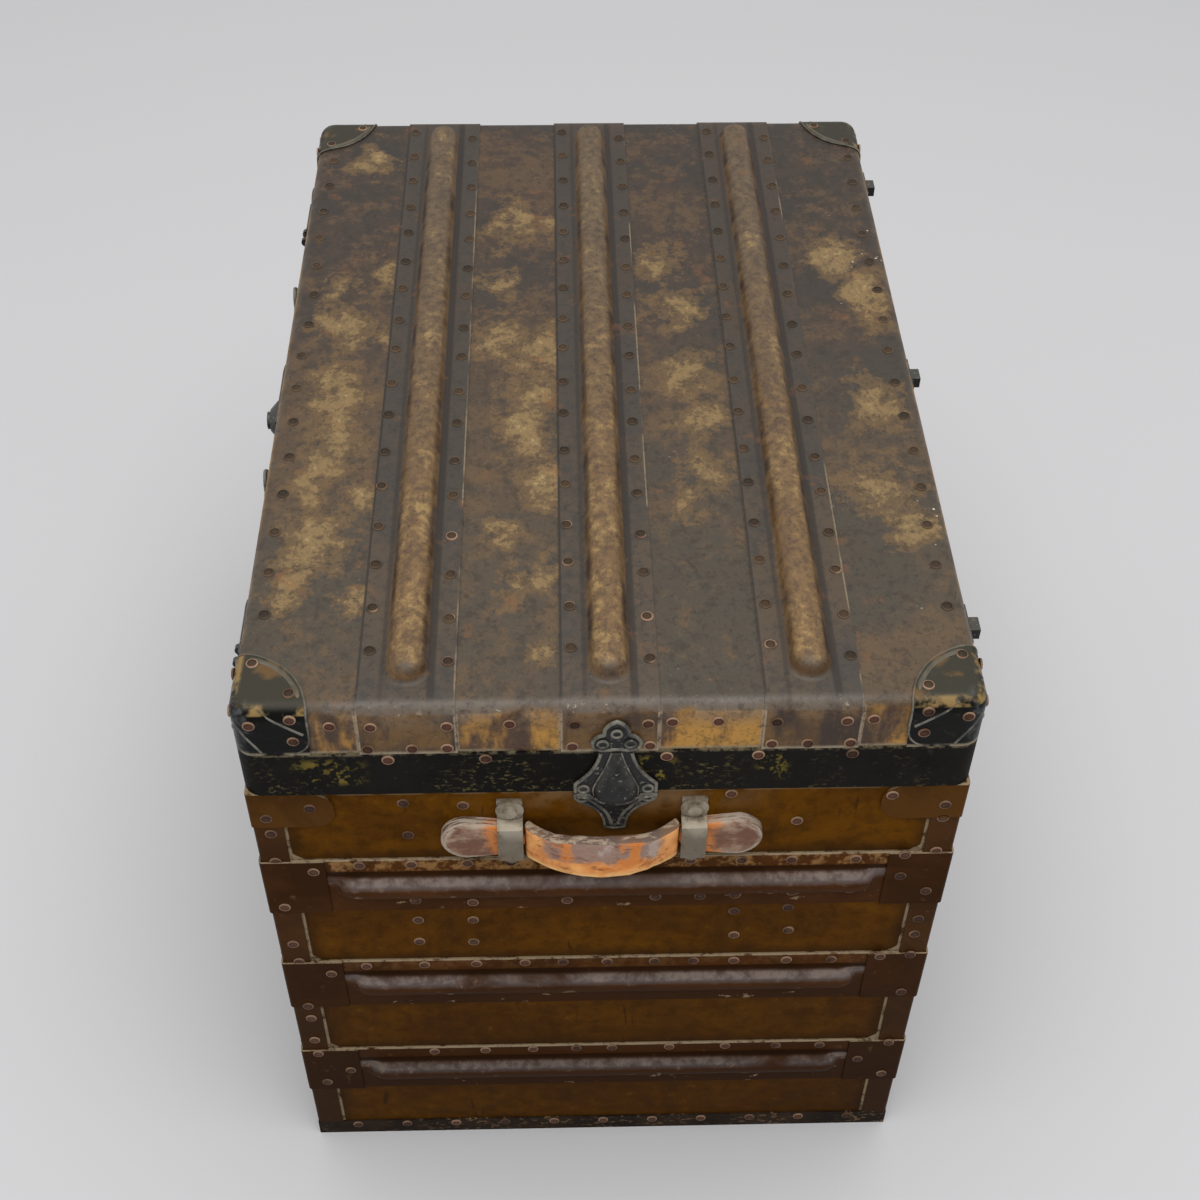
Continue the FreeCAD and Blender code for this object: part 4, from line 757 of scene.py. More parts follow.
@dataclass(frozen=True)
class Leather(Finish):
    """Old leather: a grip rubbed to orange suede, or dark ends with torn pale edges."""

    hide: Hide
    # Where the handle is: its middle across, the middles of its ends from there, and its height
    off_middle: float = -0.005
    tail_centre: float = 0.105
    level: float = 0.486

    @property
    def name(self) -> str:
        """The material's name."""
        return self.hide.value

    def brush(self, canvas: Canvas) -> None:
        """Paints the finish.

        Args:
            canvas: The material to paint.
        """
        fibre = canvas.noise(150.0, 5.0, 0.75, (1, 0.35, 1))
        cloud = canvas.noise(30.0, 4.0, 0.6, warp=0.4)
        along = abs(canvas.y - self.off_middle)
        if self.hide is Hide.GRIP:
            self.paint_grip(canvas, along, cloud, fibre)
        else:
            self.paint_ends(canvas, along, cloud, fibre)
        canvas.gloss(cloud * 0.3 + fibre * 0.3 + 0.30, 0.32)
        canvas.relief(fibre + cloud * 0.6, 0.0020, 0.8)

    def paint_grip(self, canvas: Canvas, along: Pattern, cloud: Pattern, fibre: Pattern) -> None:
        """Paints orange suede under the last smooth grey skin, with a ragged lower edge.

        Args:
            canvas: The material to paint.
            along: Distance from the middle of the handle.
            cloud: The material's broad noise.
            fibre: Its fine noise.
        """
        canvas.ground(cloud.rise(0.36, 0.62), tint(204, 122, 52), tint(236, 168, 98))
        drawn = canvas.noise(85.0, 5.0, 0.7, (1, 1, 0.8))
        smooth = (canvas.z + (drawn - 0.5) * 0.020).rise(0.4800, 0.4860)
        smooth = smooth * (along + drawn * 0.02).rise(0.060, 0.050)
        canvas.lay(smooth * cloud.rise(0.38, 0.48) * 0.85, tint(128, 112, 108))
        canvas.lay(smooth * cloud.rise(0.54, 0.60) * 0.6, tint(182, 166, 158))
        canvas.lay(fibre.rise(0.52, 0.64) * 0.7, tint(118, 60, 22))
        ragged = (canvas.z + (cloud - 0.5) * 0.012).rise(0.4745, 0.4700)
        canvas.lay(ragged * fibre.rise(0.38, 0.50) * 0.8, tint(240, 192, 124))
        edge = (canvas.lean_z + (cloud - 0.5) * 0.5).rise(0.45, 0.75)
        canvas.lay(edge * 0.9, tint(92, 76, 66))
        canvas.lay(edge * fibre.rise(0.50, 0.60) * 0.8, tint(176, 156, 132))

    def paint_ends(self, canvas: Canvas, along: Pattern, cloud: Pattern, fibre: Pattern) -> None:
        """Paints dark cracked ends with a pale rim and layers, torn to orange beside the loops.

        Args:
            canvas: The material to paint.
            along: Distance from the middle of the handle.
            cloud: The material's broad noise.
            fibre: Its fine noise.
        """
        layers = canvas.noise(70.0, 4.0, 0.7, (9, 0.6, 0.6))
        cracked = (cloud + (fibre - 0.5) * 0.5).rise(0.38, 0.62)
        canvas.ground(cracked, tint(112, 74, 54), tint(166, 138, 116))
        beyond = (along - self.tail_centre).most(0.0)
        above = canvas.z - self.level
        rim = (beyond * beyond + above * above).rise(0.00025, 0.00037)
        canvas.lay(rim * layers.rise(0.36, 0.54) * 0.8, tint(180, 166, 148))
        torn = (cloud * 0.04 - along).rise(-0.076, -0.066) * fibre.rise(0.34, 0.48)
        canvas.lay(torn, tint(206, 124, 56))
        out = abs(canvas.x)
        canvas.lay(out.rise(0.4115, 0.4100) * layers.rise(0.40, 0.58) * 0.8, tint(162, 148, 132))
        canvas.lay(out.rise(0.4108, 0.4098) * layers.rise(0.52, 0.42) * 0.7, tint(66, 46, 36))
        canvas.lay(fibre.rise(0.60, 0.72) * 0.4, tint(52, 32, 24))


class Metal(Enum):
    """Which half of a rivet a finish is for."""

    HEAD = ("rivet_head_copper", (84, 54, 42), (46, 31, 24))
    RING = ("rivet_ring_rubbed", (148, 122, 101), (84, 64, 50))


@dataclass(frozen=True)
class RivetMetal(Finish):
    """Dark copper of the rivets, rubbed pale round the head on the sides and painted over on the lid."""

    metal: Metal

    @property
    def name(self) -> str:
        """The material's name."""
        return self.metal.value[0]

    def brush(self, canvas: Canvas) -> None:
        """Paints the finish.

        Args:
            canvas: The material to paint.
        """
        _, light, dark = self.metal.value
        cloud = canvas.noise(30.0, 3.0)
        fleck = canvas.noise(400.0, 2.0)
        canvas.ground(cloud.rise(0.35, 0.62), tint(*dark), tint(*light))
        canvas.lay(fleck.rise(0.55, 0.75) * 0.5, tint(*dark))
        blotch = cloud.rise(0.40, 0.60)
        low = canvas.mix(blotch, tint(50, 31, 22), tint(82, 56, 42))
        canvas.lay(canvas.z.rise(0.535, 0.525) * (0.65 if self.metal is Metal.HEAD else 0.25), low)
        on_top = canvas.z.rise(0.6370, 0.6380)
        painted = canvas.mix(blotch, tint(48, 43, 37), tint(64, 53, 42))
        if self.metal is Metal.RING:
            painted = canvas.mix(blotch, tint(62, 56, 48), tint(78, 67, 53))
            bare = canvas.noise(19.0, 2.0).rise(0.58, 0.62) * canvas.x.rise(0.05, 0.25)
            bare = bare.most(abs(canvas.x).rise(0.34, 0.35) * abs(canvas.y).rise(0.22, 0.23))
            on_top = on_top * bare.rest()
        canvas.lay(on_top * 0.92, painted)
        canvas.gloss(fleck * 0.4 + 0.26, 0.18, tint(255, 200, 160))


class Board(Enum):
    """Which board a finish is for: the paper-lined box or the bare tongues and battens."""

    LINED = "board_paper_lined"
    BARE = "board_bare_wood"


@dataclass(frozen=True)
class BoardFinish(Finish):
    """Boards inside the trunk: plain aged lining paper, or bare wood with its grain."""

    board: Board

    @property
    def name(self) -> str:
        """The material's name."""
        return self.board.value

    def brush(self, canvas: Canvas) -> None:
        """Paints the finish.

        Args:
            canvas: The material to paint.
        """
        if self.board is Board.LINED:
            grain = canvas.noise(420.0, 2.0, 0.6, (1, 1, 0.4))
            cloud = canvas.noise(5.0, 5.0, 0.6)
            canvas.ground(cloud.rise(0.38, 0.64), tint(150, 128, 92), tint(178, 160, 124))
            canvas.lay(canvas.noise(24.0, 4.0).rise(0.62, 0.72) * 0.4, tint(112, 86, 54))
            canvas.relief(grain, 0.0003, 0.5)
        else:
            grain = canvas.noise(90.0, 4.0, 0.6, (0.08, 0.08, 1), 1.2)
            canvas.ground(grain.rise(0.38, 0.62), tint(132, 90, 50), tint(166, 124, 76))
            canvas.relief(grain, 0.0004, 0.5)
        canvas.gloss(grain * 0.2 + 0.6, 0.3)


# Modelling

class Kind(Enum):
    """What a selection is made of."""

    VERT = "VERT"
    EDGE = "EDGE"
    FACE = "FACE"


class Side(Enum):
    """An upright side of the trunk: how its pieces turn, and how far out the body's cover lies."""

    RIGHT_END = ("right_end", ((0, 0, 1), (1, 0, 0), (0, 1, 0)), 0.403)
    LEFT_END = ("left_end", ((0, 0, -1), (-1, 0, 0), (0, 1, 0)), 0.403)
    FRONT = ("front", ((1, 0, 0), (0, 0, -1), (0, 1, 0)), 0.277)
    BACK = ("back", ((-1, 0, 0), (0, 0, 1), (0, 1, 0)), 0.277)

    @property
    def label(self) -> str:
        """The side's name in the model."""
        return self.value[0]

    @property
    def is_end(self) -> bool:
        """Whether it is one of the two short sides."""
        return self in (Side.RIGHT_END, Side.LEFT_END)

    def lay(self, along: float, height: float, proud: float = 0.0) -> Matrix:
        """Where a piece modelled flat goes on this side.

        Args:
            along: Distance along the side, rightwards as seen from outside.
            height: Height above the floor.
            proud: Distance out from the body's cover.

        Returns:
            A matrix that stands the piece up: its x along the side, its y up and its z outwards.
        """
        turn = Matrix(self.value[1])
        place = turn @ Vector((along, 0, self.value[2] + proud)) + Vector((0, 0, height))
        return Matrix.Translation(place) @ turn.to_4x4()


class Workpiece:
    """One mesh under the tools, shaped in edit mode."""

    def __init__(self, name: str) -> None:
        """Takes up the primitive that was just added and fixes its place.

        Args:
            name: What the piece is called.
        """
        bpy.ops.object.transform_apply(location=True, rotation=True, scale=True)
        self.piece = bpy.context.object
        self.piece.name = name
        self.piece.data.name = name
        bpy.ops.object.mode_set(mode="EDIT")

    @staticmethod
    def clear() -> None:
        """Leaves nothing selected."""
        if bpy.context.object and bpy.context.object.mode != "OBJECT":
            bpy.ops.object.mode_set(mode="OBJECT")
        bpy.ops.object.select_all(action="DESELECT")

    @classmethod
    def post(cls, name: str, radius: float, height: float, sides: int, foot: float = 0.0) -> "Workpiece":
        """Starts from an upright round post with no corner on its x axis.

        Args:
            name: What the piece is called.
            radius: The post's radius.
            height: Its height.
            sides: How many sides stand for the round.
            foot: The level of its foot.

        Returns:
            The post.
        """
        cls.clear()
        bpy.ops.mesh.primitive_cylinder_add(
            vertices=sides, radius=radius, depth=height, end_fill_type="NGON",
            location=(0, 0, foot + height / 2), rotation=(0, 0, math.pi / sides),
        )
        return cls(name)

    @classmethod
    def disc(cls, name: str, size: Spot, sides: int, level: float) -> "Workpiece":
        """Starts from a flat oval round the z axis.

        Args:
            name: What the piece is called.
            size: The oval's two half widths.
            sides: How many sides stand for the round.
            level: Its height.

        Returns:
            The oval.
        """
        cls.clear()
        bpy.ops.mesh.primitive_circle_add(vertices=sides, radius=1, fill_type="NGON", location=(0, 0, level))
        bpy.context.object.scale = (*size, 1)
        return cls(name)

    @classmethod
    def slab(cls, name: str, size: Sequence[float]) -> "Workpiece":
        """Starts from a block that lies on the floor.

        Args:
            name: What the piece is called.
            size: The block's length, width and height.

        Returns:
            The block.
        """
        cls.clear()
        bpy.ops.mesh.primitive_cube_add(size=1, location=(0, 0, size[2] / 2))
        bpy.context.object.scale = size
        return cls(name)

    @classmethod
    def sheet(cls, name: str, size: Spot, at: Sequence[float], tilt: float = 0.0) -> "Workpiece":
        """Starts from a flat rectangle.

        Args:
            name: What the piece is called.
            size: The rectangle's length and width.
            at: Where its middle is.
            tilt: How far it is turned about the y axis.

        Returns:
            The rectangle.
        """
        cls.clear()
        bpy.ops.mesh.primitive_plane_add(size=1, location=at, rotation=(0, tilt, 0))
        bpy.context.object.scale = (*size, 1)
        return cls(name)

    def pick(self, kind: Kind, wanted: Callable[[Vector, Vector], bool]) -> "Workpiece":
        """Selects by place and direction.

        Args:
            kind: What to select.
            wanted: A test of each one's middle and its normal, or for an edge its direction.

        Returns:
            This workpiece.
        """
        bpy.ops.mesh.select_mode(type=kind.value)
        bpy.ops.mesh.select_all(action="DESELECT")
        mesh = bmesh.from_edit_mesh(self.piece.data)
        if kind is Kind.VERT:
            for vert in mesh.verts:
                vert.select = wanted(vert.co, vert.normal)
        elif kind is Kind.EDGE:
            for edge in mesh.edges:
                first, last = (vert.co for vert in edge.verts)
                edge.select = wanted((first + last) / 2, (last - first).normalized())
        else:
            for face in mesh.faces:
                face.select = wanted(face.calc_center_median(), face.normal)
        mesh.select_flush_mode()
        bmesh.update_edit_mesh(self.piece.data)
        return self

    def pick_all(self) -> "Workpiece":
        """Selects the whole piece."""
        bpy.ops.mesh.select_all(action="SELECT")
        return self

    def pick_top(self) -> "Workpiece":
        """Selects the faces that look straight up."""
        return self.pick(Kind.FACE, lambda _, normal: normal.z > 0.9)

    def push(self, *by: float) -> "Workpiece":
        """Moves what is selected."""
        bpy.ops.transform.translate(value=by)
        return self

    def grow(self, scale: Sequence[float], about: Sequence[float]) -> "Workpiece":
        """Scales what is selected about a point."""
        bpy.ops.transform.resize(value=scale, center_override=about)
        return self

    def draw_out(self, *by: float) -> "Workpiece":
        """Extrudes what is selected."""
        bpy.ops.mesh.extrude_region_move(TRANSFORM_OT_translate={"value": by})
        return self

    def steps(self, moves: Iterable[tuple[float, float]]) -> "Workpiece":
        """Insets the selected face again and again.

        Args:
            moves: How far in and how far up each step goes.

        Returns:
            This workpiece.
        """
        for inwards, upwards in moves:
            bpy.ops.mesh.inset(thickness=inwards, depth=upwards, use_even_offset=True)
        return self

    def sweep(self, centre: Sequence[float], axis: Sequence[float], angle: float, steps: int) -> "Workpiece":
        """Spins what is selected about an axis, right-handed."""
        bpy.ops.mesh.spin(steps=steps, angle=-angle, center=centre, axis=axis)
        return self

    def soften(self, width: float, segments: int = 3) -> "Workpiece":
        """Bevels the selected edges."""
        bpy.ops.mesh.bevel(offset=width, segments=segments, profile=0.5)
        return self

    def cut_up(self, cuts: int) -> "Workpiece":
        """Subdivides what is selected."""
        bpy.ops.mesh.subdivide(number_cuts=cuts)
        return self

    def heal(self) -> "Workpiece":
        """Merges doubles and turns all faces outwards.

        Returns:
            This workpiece.
        """
        self.pick_all()
        bpy.ops.mesh.remove_doubles(threshold=0.00001)
        bpy.ops.mesh.normals_make_consistent(inside=False)
        return self

    def modify(self, kind: str, **settings: float | str | bool) -> "Workpiece":
        """Adds a modifier and applies it.

        Args:
            kind: The modifier's type.
            settings: Its values.

        Returns:
            This workpiece.
        """
        bpy.ops.object.mode_set(mode="OBJECT")
        modifier = self.piece.modifiers.new("step", kind)
        for name, value in settings.items():
            setattr(modifier, name, value)
        bpy.ops.object.modifier_apply(modifier=modifier.name)
        bpy.ops.object.mode_set(mode="EDIT")
        return self

    def done(self, smooth: float = 40.0) -> bpy.types.Object:
        """Puts the tools down.

        Args:
            smooth: Edges sharper than this many degrees stay sharp.

        Returns:
            The finished piece.
        """
        bpy.ops.object.mode_set(mode="OBJECT")
        bpy.ops.object.shade_smooth_by_angle(angle=math.radians(smooth))
        return self.piece


def copied(model: bpy.types.Object, places: Iterable[Matrix]) -> list[bpy.types.Object]:
    """Copies a piece to some places, each copy with its own mesh, and throws the model away.

    Args:
        model: The piece, modelled at the origin.
        places: Where the copies go.

    Returns:
        The copies.
    """
    copies = []
    for place in places:
        copy = model.copy()
        copy.data = model.data.copy()
        copy.data.transform(place)
        bpy.context.collection.objects.link(copy)
        copies.append(copy)
    bpy.data.objects.remove(model)
    return copies


def joined(name: str, pieces: Sequence[bpy.types.Object]) -> bpy.types.Object:
    """Makes one piece of several.

    Args:
        name: The piece's name.
        pieces: What it is made of.

    Returns:
        The piece.
    """
    Workpiece.clear()
    for piece in pieces:
        piece.select_set(True)
    bpy.context.view_layer.objects.active = pieces[0]
    if len(pieces) > 1:
        bpy.ops.object.join()
    pieces[0].name = name
    pieces[0].data.name = name
    return pieces[0]


@dataclass(frozen=True)
class Line:
    """A line traced in millimetres: places, each with a last number 1 where the line turns sharply."""

    points: Rows
    closed: bool = True

    @classmethod
    def mirrored(cls, half: Sequence[tuple[float, ...]], closed: bool = True) -> "Line":
        """Half a line and its mirror image to the left of the middle."""
        other = tuple((-point[0], *point[1:]) for point in reversed(half) if point[0] > 0)
        return cls(tuple(half) + other, closed)

    @classmethod
    def pair(cls, points: Sequence[tuple[float, ...]]) -> tuple["Line", "Line"]:
        """An open line on the right, and its mirror image on the left."""
        return tuple(cls(tuple((way * at[0], *at[1:]) for at in points), False) for way in (1, -1))

    def drawn(self, name: str, **settings: float | str | bool) -> bpy.types.Object:
        """Draws the line as a curve with some thickness and turns it into a mesh.

        Args:
            name: The piece's name.
            settings: The curve's thickness and smoothness.

        Returns:
            The piece.
        """
        Workpiece.clear()
        curve = bpy.data.curves.new(name, "CURVE")
        curve.resolution_u = 5
        for key, value in settings.items():
            setattr(curve, key, value)
        line = curve.splines.new("BEZIER")
        line.bezier_points.add(len(self.points) - 1)
        line.use_cyclic_u = self.closed
        for knot, point in zip(line.bezier_points, self.points):
            knot.co = Vector(point[:3]) / 1000
            turn = "VECTOR" if len(point) > 3 else "AUTO"
            knot.handle_left_type = turn
            knot.handle_right_type = turn
        piece = bpy.data.objects.new(name, curve)
        bpy.context.collection.objects.link(piece)
        piece.select_set(True)
        bpy.context.view_layer.objects.active = piece
        bpy.ops.object.convert(target="MESH")
        return Workpiece(name).heal().done(50)

    def plate(self, name: str, low: float, high: float) -> bpy.types.Object:
        """Makes a flat plate inside the line.

        Args:
            name: The piece's name.
            low: The level of its underside in millimetres.
            high: The level of its upper side.

        Returns:
            The plate.
        """
        half = (high - low) / 2000
        piece = self.drawn(name, dimensions="2D", fill_mode="BOTH", extrude=half)
        piece.data.transform(Matrix.Translation((0, 0, low / 1000 + half)))
        return piece

    def bead(self, name: str, radius: float, level: float = 0.0) -> bpy.types.Object:
        """Makes a round bead along the line.

        Args:
            name: The piece's name.
            radius: Its radius in millimetres.
            level: How far it is raised, in millimetres.

        Returns:
            The bead.
        """
        piece = self.drawn(
            name, dimensions="3D", fill_mode="FULL", bevel_depth=radius / 1000, bevel_resolution=2,
            use_fill_caps=not self.closed,
        )
        piece.data.transform(Matrix.Translation((0, 0, level / 1000)))
        return piece


@dataclass
class Dresser:
    """Gives pieces their finish and body, and logs them."""

    finishes: dict[Finish, bpy.types.Material] = field(default_factory=dict)

    def finish(self, kind: Finish) -> bpy.types.Material:
        """Finds the material of a finish, which is made when it is first asked for.

        Args:
            kind: The finish.

        Returns:
            The material.
        """
        if kind not in self.finishes:
            self.finishes[kind] = kind.make()
        return self.finishes[kind]

    def tone(self, piece: bpy.types.Object, *kinds: Finish) -> bpy.types.Object:
        """Gives a piece its finishes.

        Args:
            piece: The piece.
            kinds: A finish for each of its material slots.

        Returns:
            The piece.
        """
        piece.data.materials.clear()
        for kind in kinds:
            piece.data.materials.append(self.finish(kind))
        return piece

    def dress(self, piece: bpy.types.Object, body: str, stands_for: str = "") -> None:
        """Says what a finished new piece belongs to.

        Args:
            piece: The piece, with its finishes on.
            body: The body that it moves with.
            stands_for: The CAD node that it replaces, if any.
        """
        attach(piece, body)
        if stands_for:
            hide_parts(stands_for)
        LOG.info("%s: %d faces on %s", piece.name, len(piece.data.polygons), body)

    def coat(self, kind: Finish, *nodes: str) -> None:
        """Gives CAD nodes a finish.

        Args:
            kind: The finish.
            nodes: The nodes' names.
        """
        for node in nodes:
            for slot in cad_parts[node].material_slots:
                slot.material = self.finish(kind)
        LOG.info("%s on %s", self.finish(kind).name, ", ".join(nodes))


# Sub-assemblies

@dataclass
class PressedRib:
    """A long rib with round ends that is pressed up out of a band."""

    half_width: float = 0.019
    rise: float = 0.013
    lip: float = 0.0004
    sunk: float = 0.0003
    sides: int = 36
    # The rib's rounding: each step in, in millimetres, and its share of the rise
    profile: tuple[Spot, ...] = (
        (2.0, 0.4), (1.5, 1.0), (1.2, 2.0), (1.0, 2.5), (1.3, 2.4), (2.0, 2.2), (3.0, 1.6), (3.5, 0.75),
        (2.3, 0.15),
    )

    def build(self, name: str, half_length: float) -> bpy.types.Object:
        """Presses one rib, lying on the floor along x.

        Args:
            name: Its name.
            half_length: From its middle to the end of its skirt.

        Returns:
            The rib.
        """
        reach = half_length - self.half_width
        work = Workpiece.post(name, self.half_width, self.lip, self.sides, -self.sunk)
        work.pick(Kind.VERT, lambda at, _: at.x > 0).push(reach, 0, 0)
        work.pick(Kind.VERT, lambda at, _: at.x < 0).push(-reach, 0, 0)
        share = self.rise / sum(up for _, up in self.profile)
        work.pick_top().steps((inwards / 1000, upwards * share) for inwards, upwards in self.profile)
        return work.done(60)


@dataclass
class LidBands:
    """Three fibre bands bent over the lid, each with a rib."""

    names: tuple[str, ...] = ("front", "middle", "back")
    width: float = 0.073
    out: float = 0.406
    bend: float = 0.0125
    bend_steps: int = 8
    foot: float = 0.5893
    rib_half_length: float = 0.3845
    rib: PressedRib = field(default_factory=PressedRib)

    def strip(self, name: str) -> bpy.types.Object:
        """Bends one flat strip over both ends of the lid.

        Args:
            name: Its name.

        Returns:
            The strip, on the lid's middle line.
        """
        half = self.out - self.bend
        low = TRUNK.lid_band_top - self.bend
        work = Workpiece.sheet(name, (half * 2, self.width), (0, 0, TRUNK.lid_band_top))
        for way in (1, -1):
            work.pick(Kind.EDGE, lambda at, _: at.x * way > half - NEAR)
            work.sweep((way * half, 0, low), (0, way, 0), math.pi / 2, self.bend_steps)
            work.pick(Kind.EDGE, lambda at, run: at.z < low + NEAR and at.x * way > 0 and abs(run.y) > 0.9)
            work.draw_out(0, 0, self.foot - low)
        work.heal()
        work.modify("SOLIDIFY", thickness=TRUNK.sheet, offset=-1)
        return work.done(35)

    def build(self, dresser: Dresser) -> None:
        """Makes and dresses the three bands.

        Args:
            dresser: Gives them their finish and body.
        """
        for name, offset in zip(self.names, TRUNK.lid_offsets):
            label = f"lid_band_{name}"
            rib = self.rib.build(f"{label}_rib", self.rib_half_length)
            rib.data.transform(Matrix.Translation((0, 0, TRUNK.lid_band_top)))
            band = joined(f"{label}_pressed", [self.strip(label), rib])
            band.data.transform(Matrix.Translation((0, offset, 0)))
            dresser.tone(band, LidFibre("lid_fibre_bands", True))
            dresser.dress(band, "lid", label)


@dataclass
class BodyBands:
    """Three fibre bands on each side of the body, each with a rib."""

    end_reach: float = 0.2545
    front_reach: float = 0.3805
    rib_inset: float = 0.0315
    edge: float = 0.0004
    rib: PressedRib = field(default_factory=lambda: PressedRib(rise=0.008))

    def build(self, dresser: Dresser) -> None:
        """Makes and dresses the bands of the four sides.

        Args:
            dresser: Gives them their finish and body.
        """
        for side in Side:
            reach = self.end_reach if side.is_end else self.front_reach
            label = f"{side.label}_bands"
            strip = Workpiece.slab(label, (reach * 2, TRUNK.band_width, TRUNK.sheet))
            strip.pick(Kind.EDGE, lambda at, _: at.z > TRUNK.sheet * 0.9).soften(self.edge, 1)
            plate = strip.done()
            rib = self.rib.build(f"{label}_rib", reach - self.rib_inset)
            rib.data.transform(Matrix.Translation((0, 0, TRUNK.sheet)))
            band = joined(label, [plate, rib])
            bands = copied(band, [side.lay(0, level) for level in TRUNK.band_levels])
            piece = dresser.tone(joined(f"{label}_pressed", bands), BandFibre(BandPart.BAND))
            dresser.dress(piece, "trunk_body", label)


@dataclass
class Rivets:
    """Clenched rivets in rows, all copied from one."""

    radius: float = 0.0050
    height: float = 0.0011
    sunk: float = 0.0006
    ring: float = 0.0011
    head: tuple[Spot, ...] = ((0.0004, -0.0006), (0.0012, 0.0004), (0.0012, 0.0001))
    sides: int = 12

    def model(self, dresser: Dresser) -> bpy.types.Object:
        """Models one rivet: a raised ring round a dished head.

        Args:
            dresser: Gives it its two finishes.

        Returns:
            The rivet.
        """
        work = Workpiece.post("rivet", self.radius, self.height, self.sides, -self.sunk).pick_top()
        work.steps(((self.ring * 0.4, 0.0005), (self.ring * 0.6, 0.0), *self.head))
        rivet = dresser.tone(work.done(50), RivetMetal(Metal.HEAD), RivetMetal(Metal.RING))
        for face in rivet.data.polygons:
            face.material_index = int(Vector(face.center.xy).length > self.radius - self.ring * 1.1)
        return rivet

    def build(self, dresser: Dresser, name: str, body: str, slot: str, places: Iterable[Matrix]) -> None:
        """Sets a row or a field of rivets.

        Args:
            dresser: Gives them their finishes and body.
            name: The piece's name.
            body: The body that it moves with.
            slot: Not used.
            places: Where each rivet goes, its z outwards.
        """
        rivets = joined(name, copied(self.model(dresser), places))
        dresser.dress(rivets, body)


@dataclass
class RivetRows:
    """Where the rivets are, read off the near end and the lid's top and carried round the trunk.

    The lists of single places are in millimetres, along a side or along it and up from the floor.
    """

    pitch: float = 0.0455
    run: float = 0.760
    stagger: float = 0.012
    off_band_middle: float = 0.0295
    off_lid_middle: float = 0.2620
    waver: float = 0.0016
    sheet: float = TRUNK.sheet
    rim_cap: float = 0.0025
    rim_level: float = 0.500
    end_upper_level: float = 0.6205
    end_lower_level: float = 0.5955
    front_level: float = 0.612
    front_start: float = -0.3375
    front_pitch: float = 0.045
    front_count: int = 16
    front_stagger: float = 0.014
    long_edge_start: float = -0.375
    binding_level: float = 0.5825
    foot_level: float = 0.016
    foot_pitch: int = 48
    end_foot_reach: int = 240
    front_foot_reach: int = 360
    lid_band_half: float = 0.036
    band_upper_levels: tuple[float, ...] = (0.447, 0.299, 0.153)
    band_lower_levels: tuple[float, ...] = (0.393, 0.246, 0.099)
    # A row on a long side's band: where its first rivet is, the pitch and the count
    upper_row: tuple[float, float, int] = (-0.360, 0.048, 16)
    lower_row: tuple[float, float, int] = (-0.336, 0.096, 8)
    longer: float = 0.126
    end_uppers: tuple[float, ...] = (-206, -176, -120, -74, -26, 28, 46, 80, 123, 175, 195)
    end_lowers: tuple[float, ...] = (-180, -147, -121, -28, 30, 121, 148, 180)
    binding: tuple[float, ...] = (-166, -93, 43, 112, 183)
    band_uppers: Rows = (
        (-200, -158, -113, -78, -40, 0, 36, 67, 108, 149, 201),
        (-207, -157, -112, -70, -37, 1, 42, 76, 111, 157, 196),
        (-157, -110, -66, -26, 7, 60, 112, 159, 200),
    )
    panel: tuple[Spot, ...] = (
        (-159, 526), (-113, 522), (-158, 485), (95, 532), (149, 496), (-158, 397), (-111, 393),
        (-33, 394), (40, 397), (77, 397), (106, 398), (153, 401), (201, 403), (-158, 366), (-112, 365),
        (-159, 334), (-113, 332), (107, 372), (152, 376), (109, 336), (155, 342),
    )
    corners: tuple[Spot, ...] = (
        (-266, 512), (-231, 524), (263, 517), (220, 530), (-265, 491), (-266, 335), (-264, 215),
        (-265, 177), (264, 499), (264, 358), (264, 335), (-266, 454), (-266, 392), (-237, 441),
        (-264, 155), (-261, 103), (-237, 124), (265, 455), (240, 452), (264, 401), (240, 423),
        (264, 305), (238, 303), (264, 245), (264, 157), (264, 100), (238, 128), (-264, 308),
        (-264, 238), (-238, 290),
    )

    def jog(self, index: int) -> float:
        """A small step aside, so that no row is ruler straight."""
        return math.sin(index * 12.9898) * self.waver

    def on_lid_band(self, along: float) -> bool:
        """Whether a place on the lid's end lies on a band."""
        return any(abs(along - middle) < self.lid_band_half for middle in TRUNK.lid_offsets)

    def on_band(self, height: float) -> bool:
        """Whether a height lies on a band of the body."""
        return any(abs(height - level) < TRUNK.band_width / 2 for level in TRUNK.band_levels)

    def lid_places(self) -> list[Matrix]:
        """Finds the rivets over the lid's top, its long edges and its sides.

        Returns:
            Where each one goes.
        """
        places = []
        count = int(self.run / self.pitch)
        for row, middle in enumerate(TRUNK.lid_offsets):
            for way in (-1, 1):
                for index in range(count + 1):
                    x = -self.run / 2 + index * self.pitch + (self.stagger if way > 0 else 0.0)
                    y = middle + way * self.off_band_middle + self.jog(index + row * 31)
                    spot = (x + self.jog(index * 7 + row), y, TRUNK.lid_band_top)
                    places.append(Matrix.Translation(spot))
        for way in (-1, 1):
            for index in range(1, count):
                x = self.long_edge_start + index * self.pitch
                y = way * self.off_lid_middle + self.jog(index * 3)
                places.append(Matrix.Translation((x, y, TRUNK.lid_cover_top)))
        for side in (Side.RIGHT_END, Side.LEFT_END):
            rows = ((self.end_upper_level, self.end_uppers), (self.end_lower_level, self.end_lowers))
            for level, row in rows:
                for along in row:
                    sheets = 2 if self.on_lid_band(along / 1000) else 1
                    places.append(side.lay(along / 1000, level, self.sheet * sheets))
            places += [side.lay(along / 1000, self.binding_level, self.sheet * 2) for along in self.binding]
        for side in (Side.FRONT, Side.BACK):
            for index in range(self.front_count):
                along = self.front_start + index * self.front_pitch
                places.append(side.lay(along, self.front_level, self.sheet))
                places.append(side.lay(along + self.front_stagger, self.binding_level, self.sheet * 2))
        return places

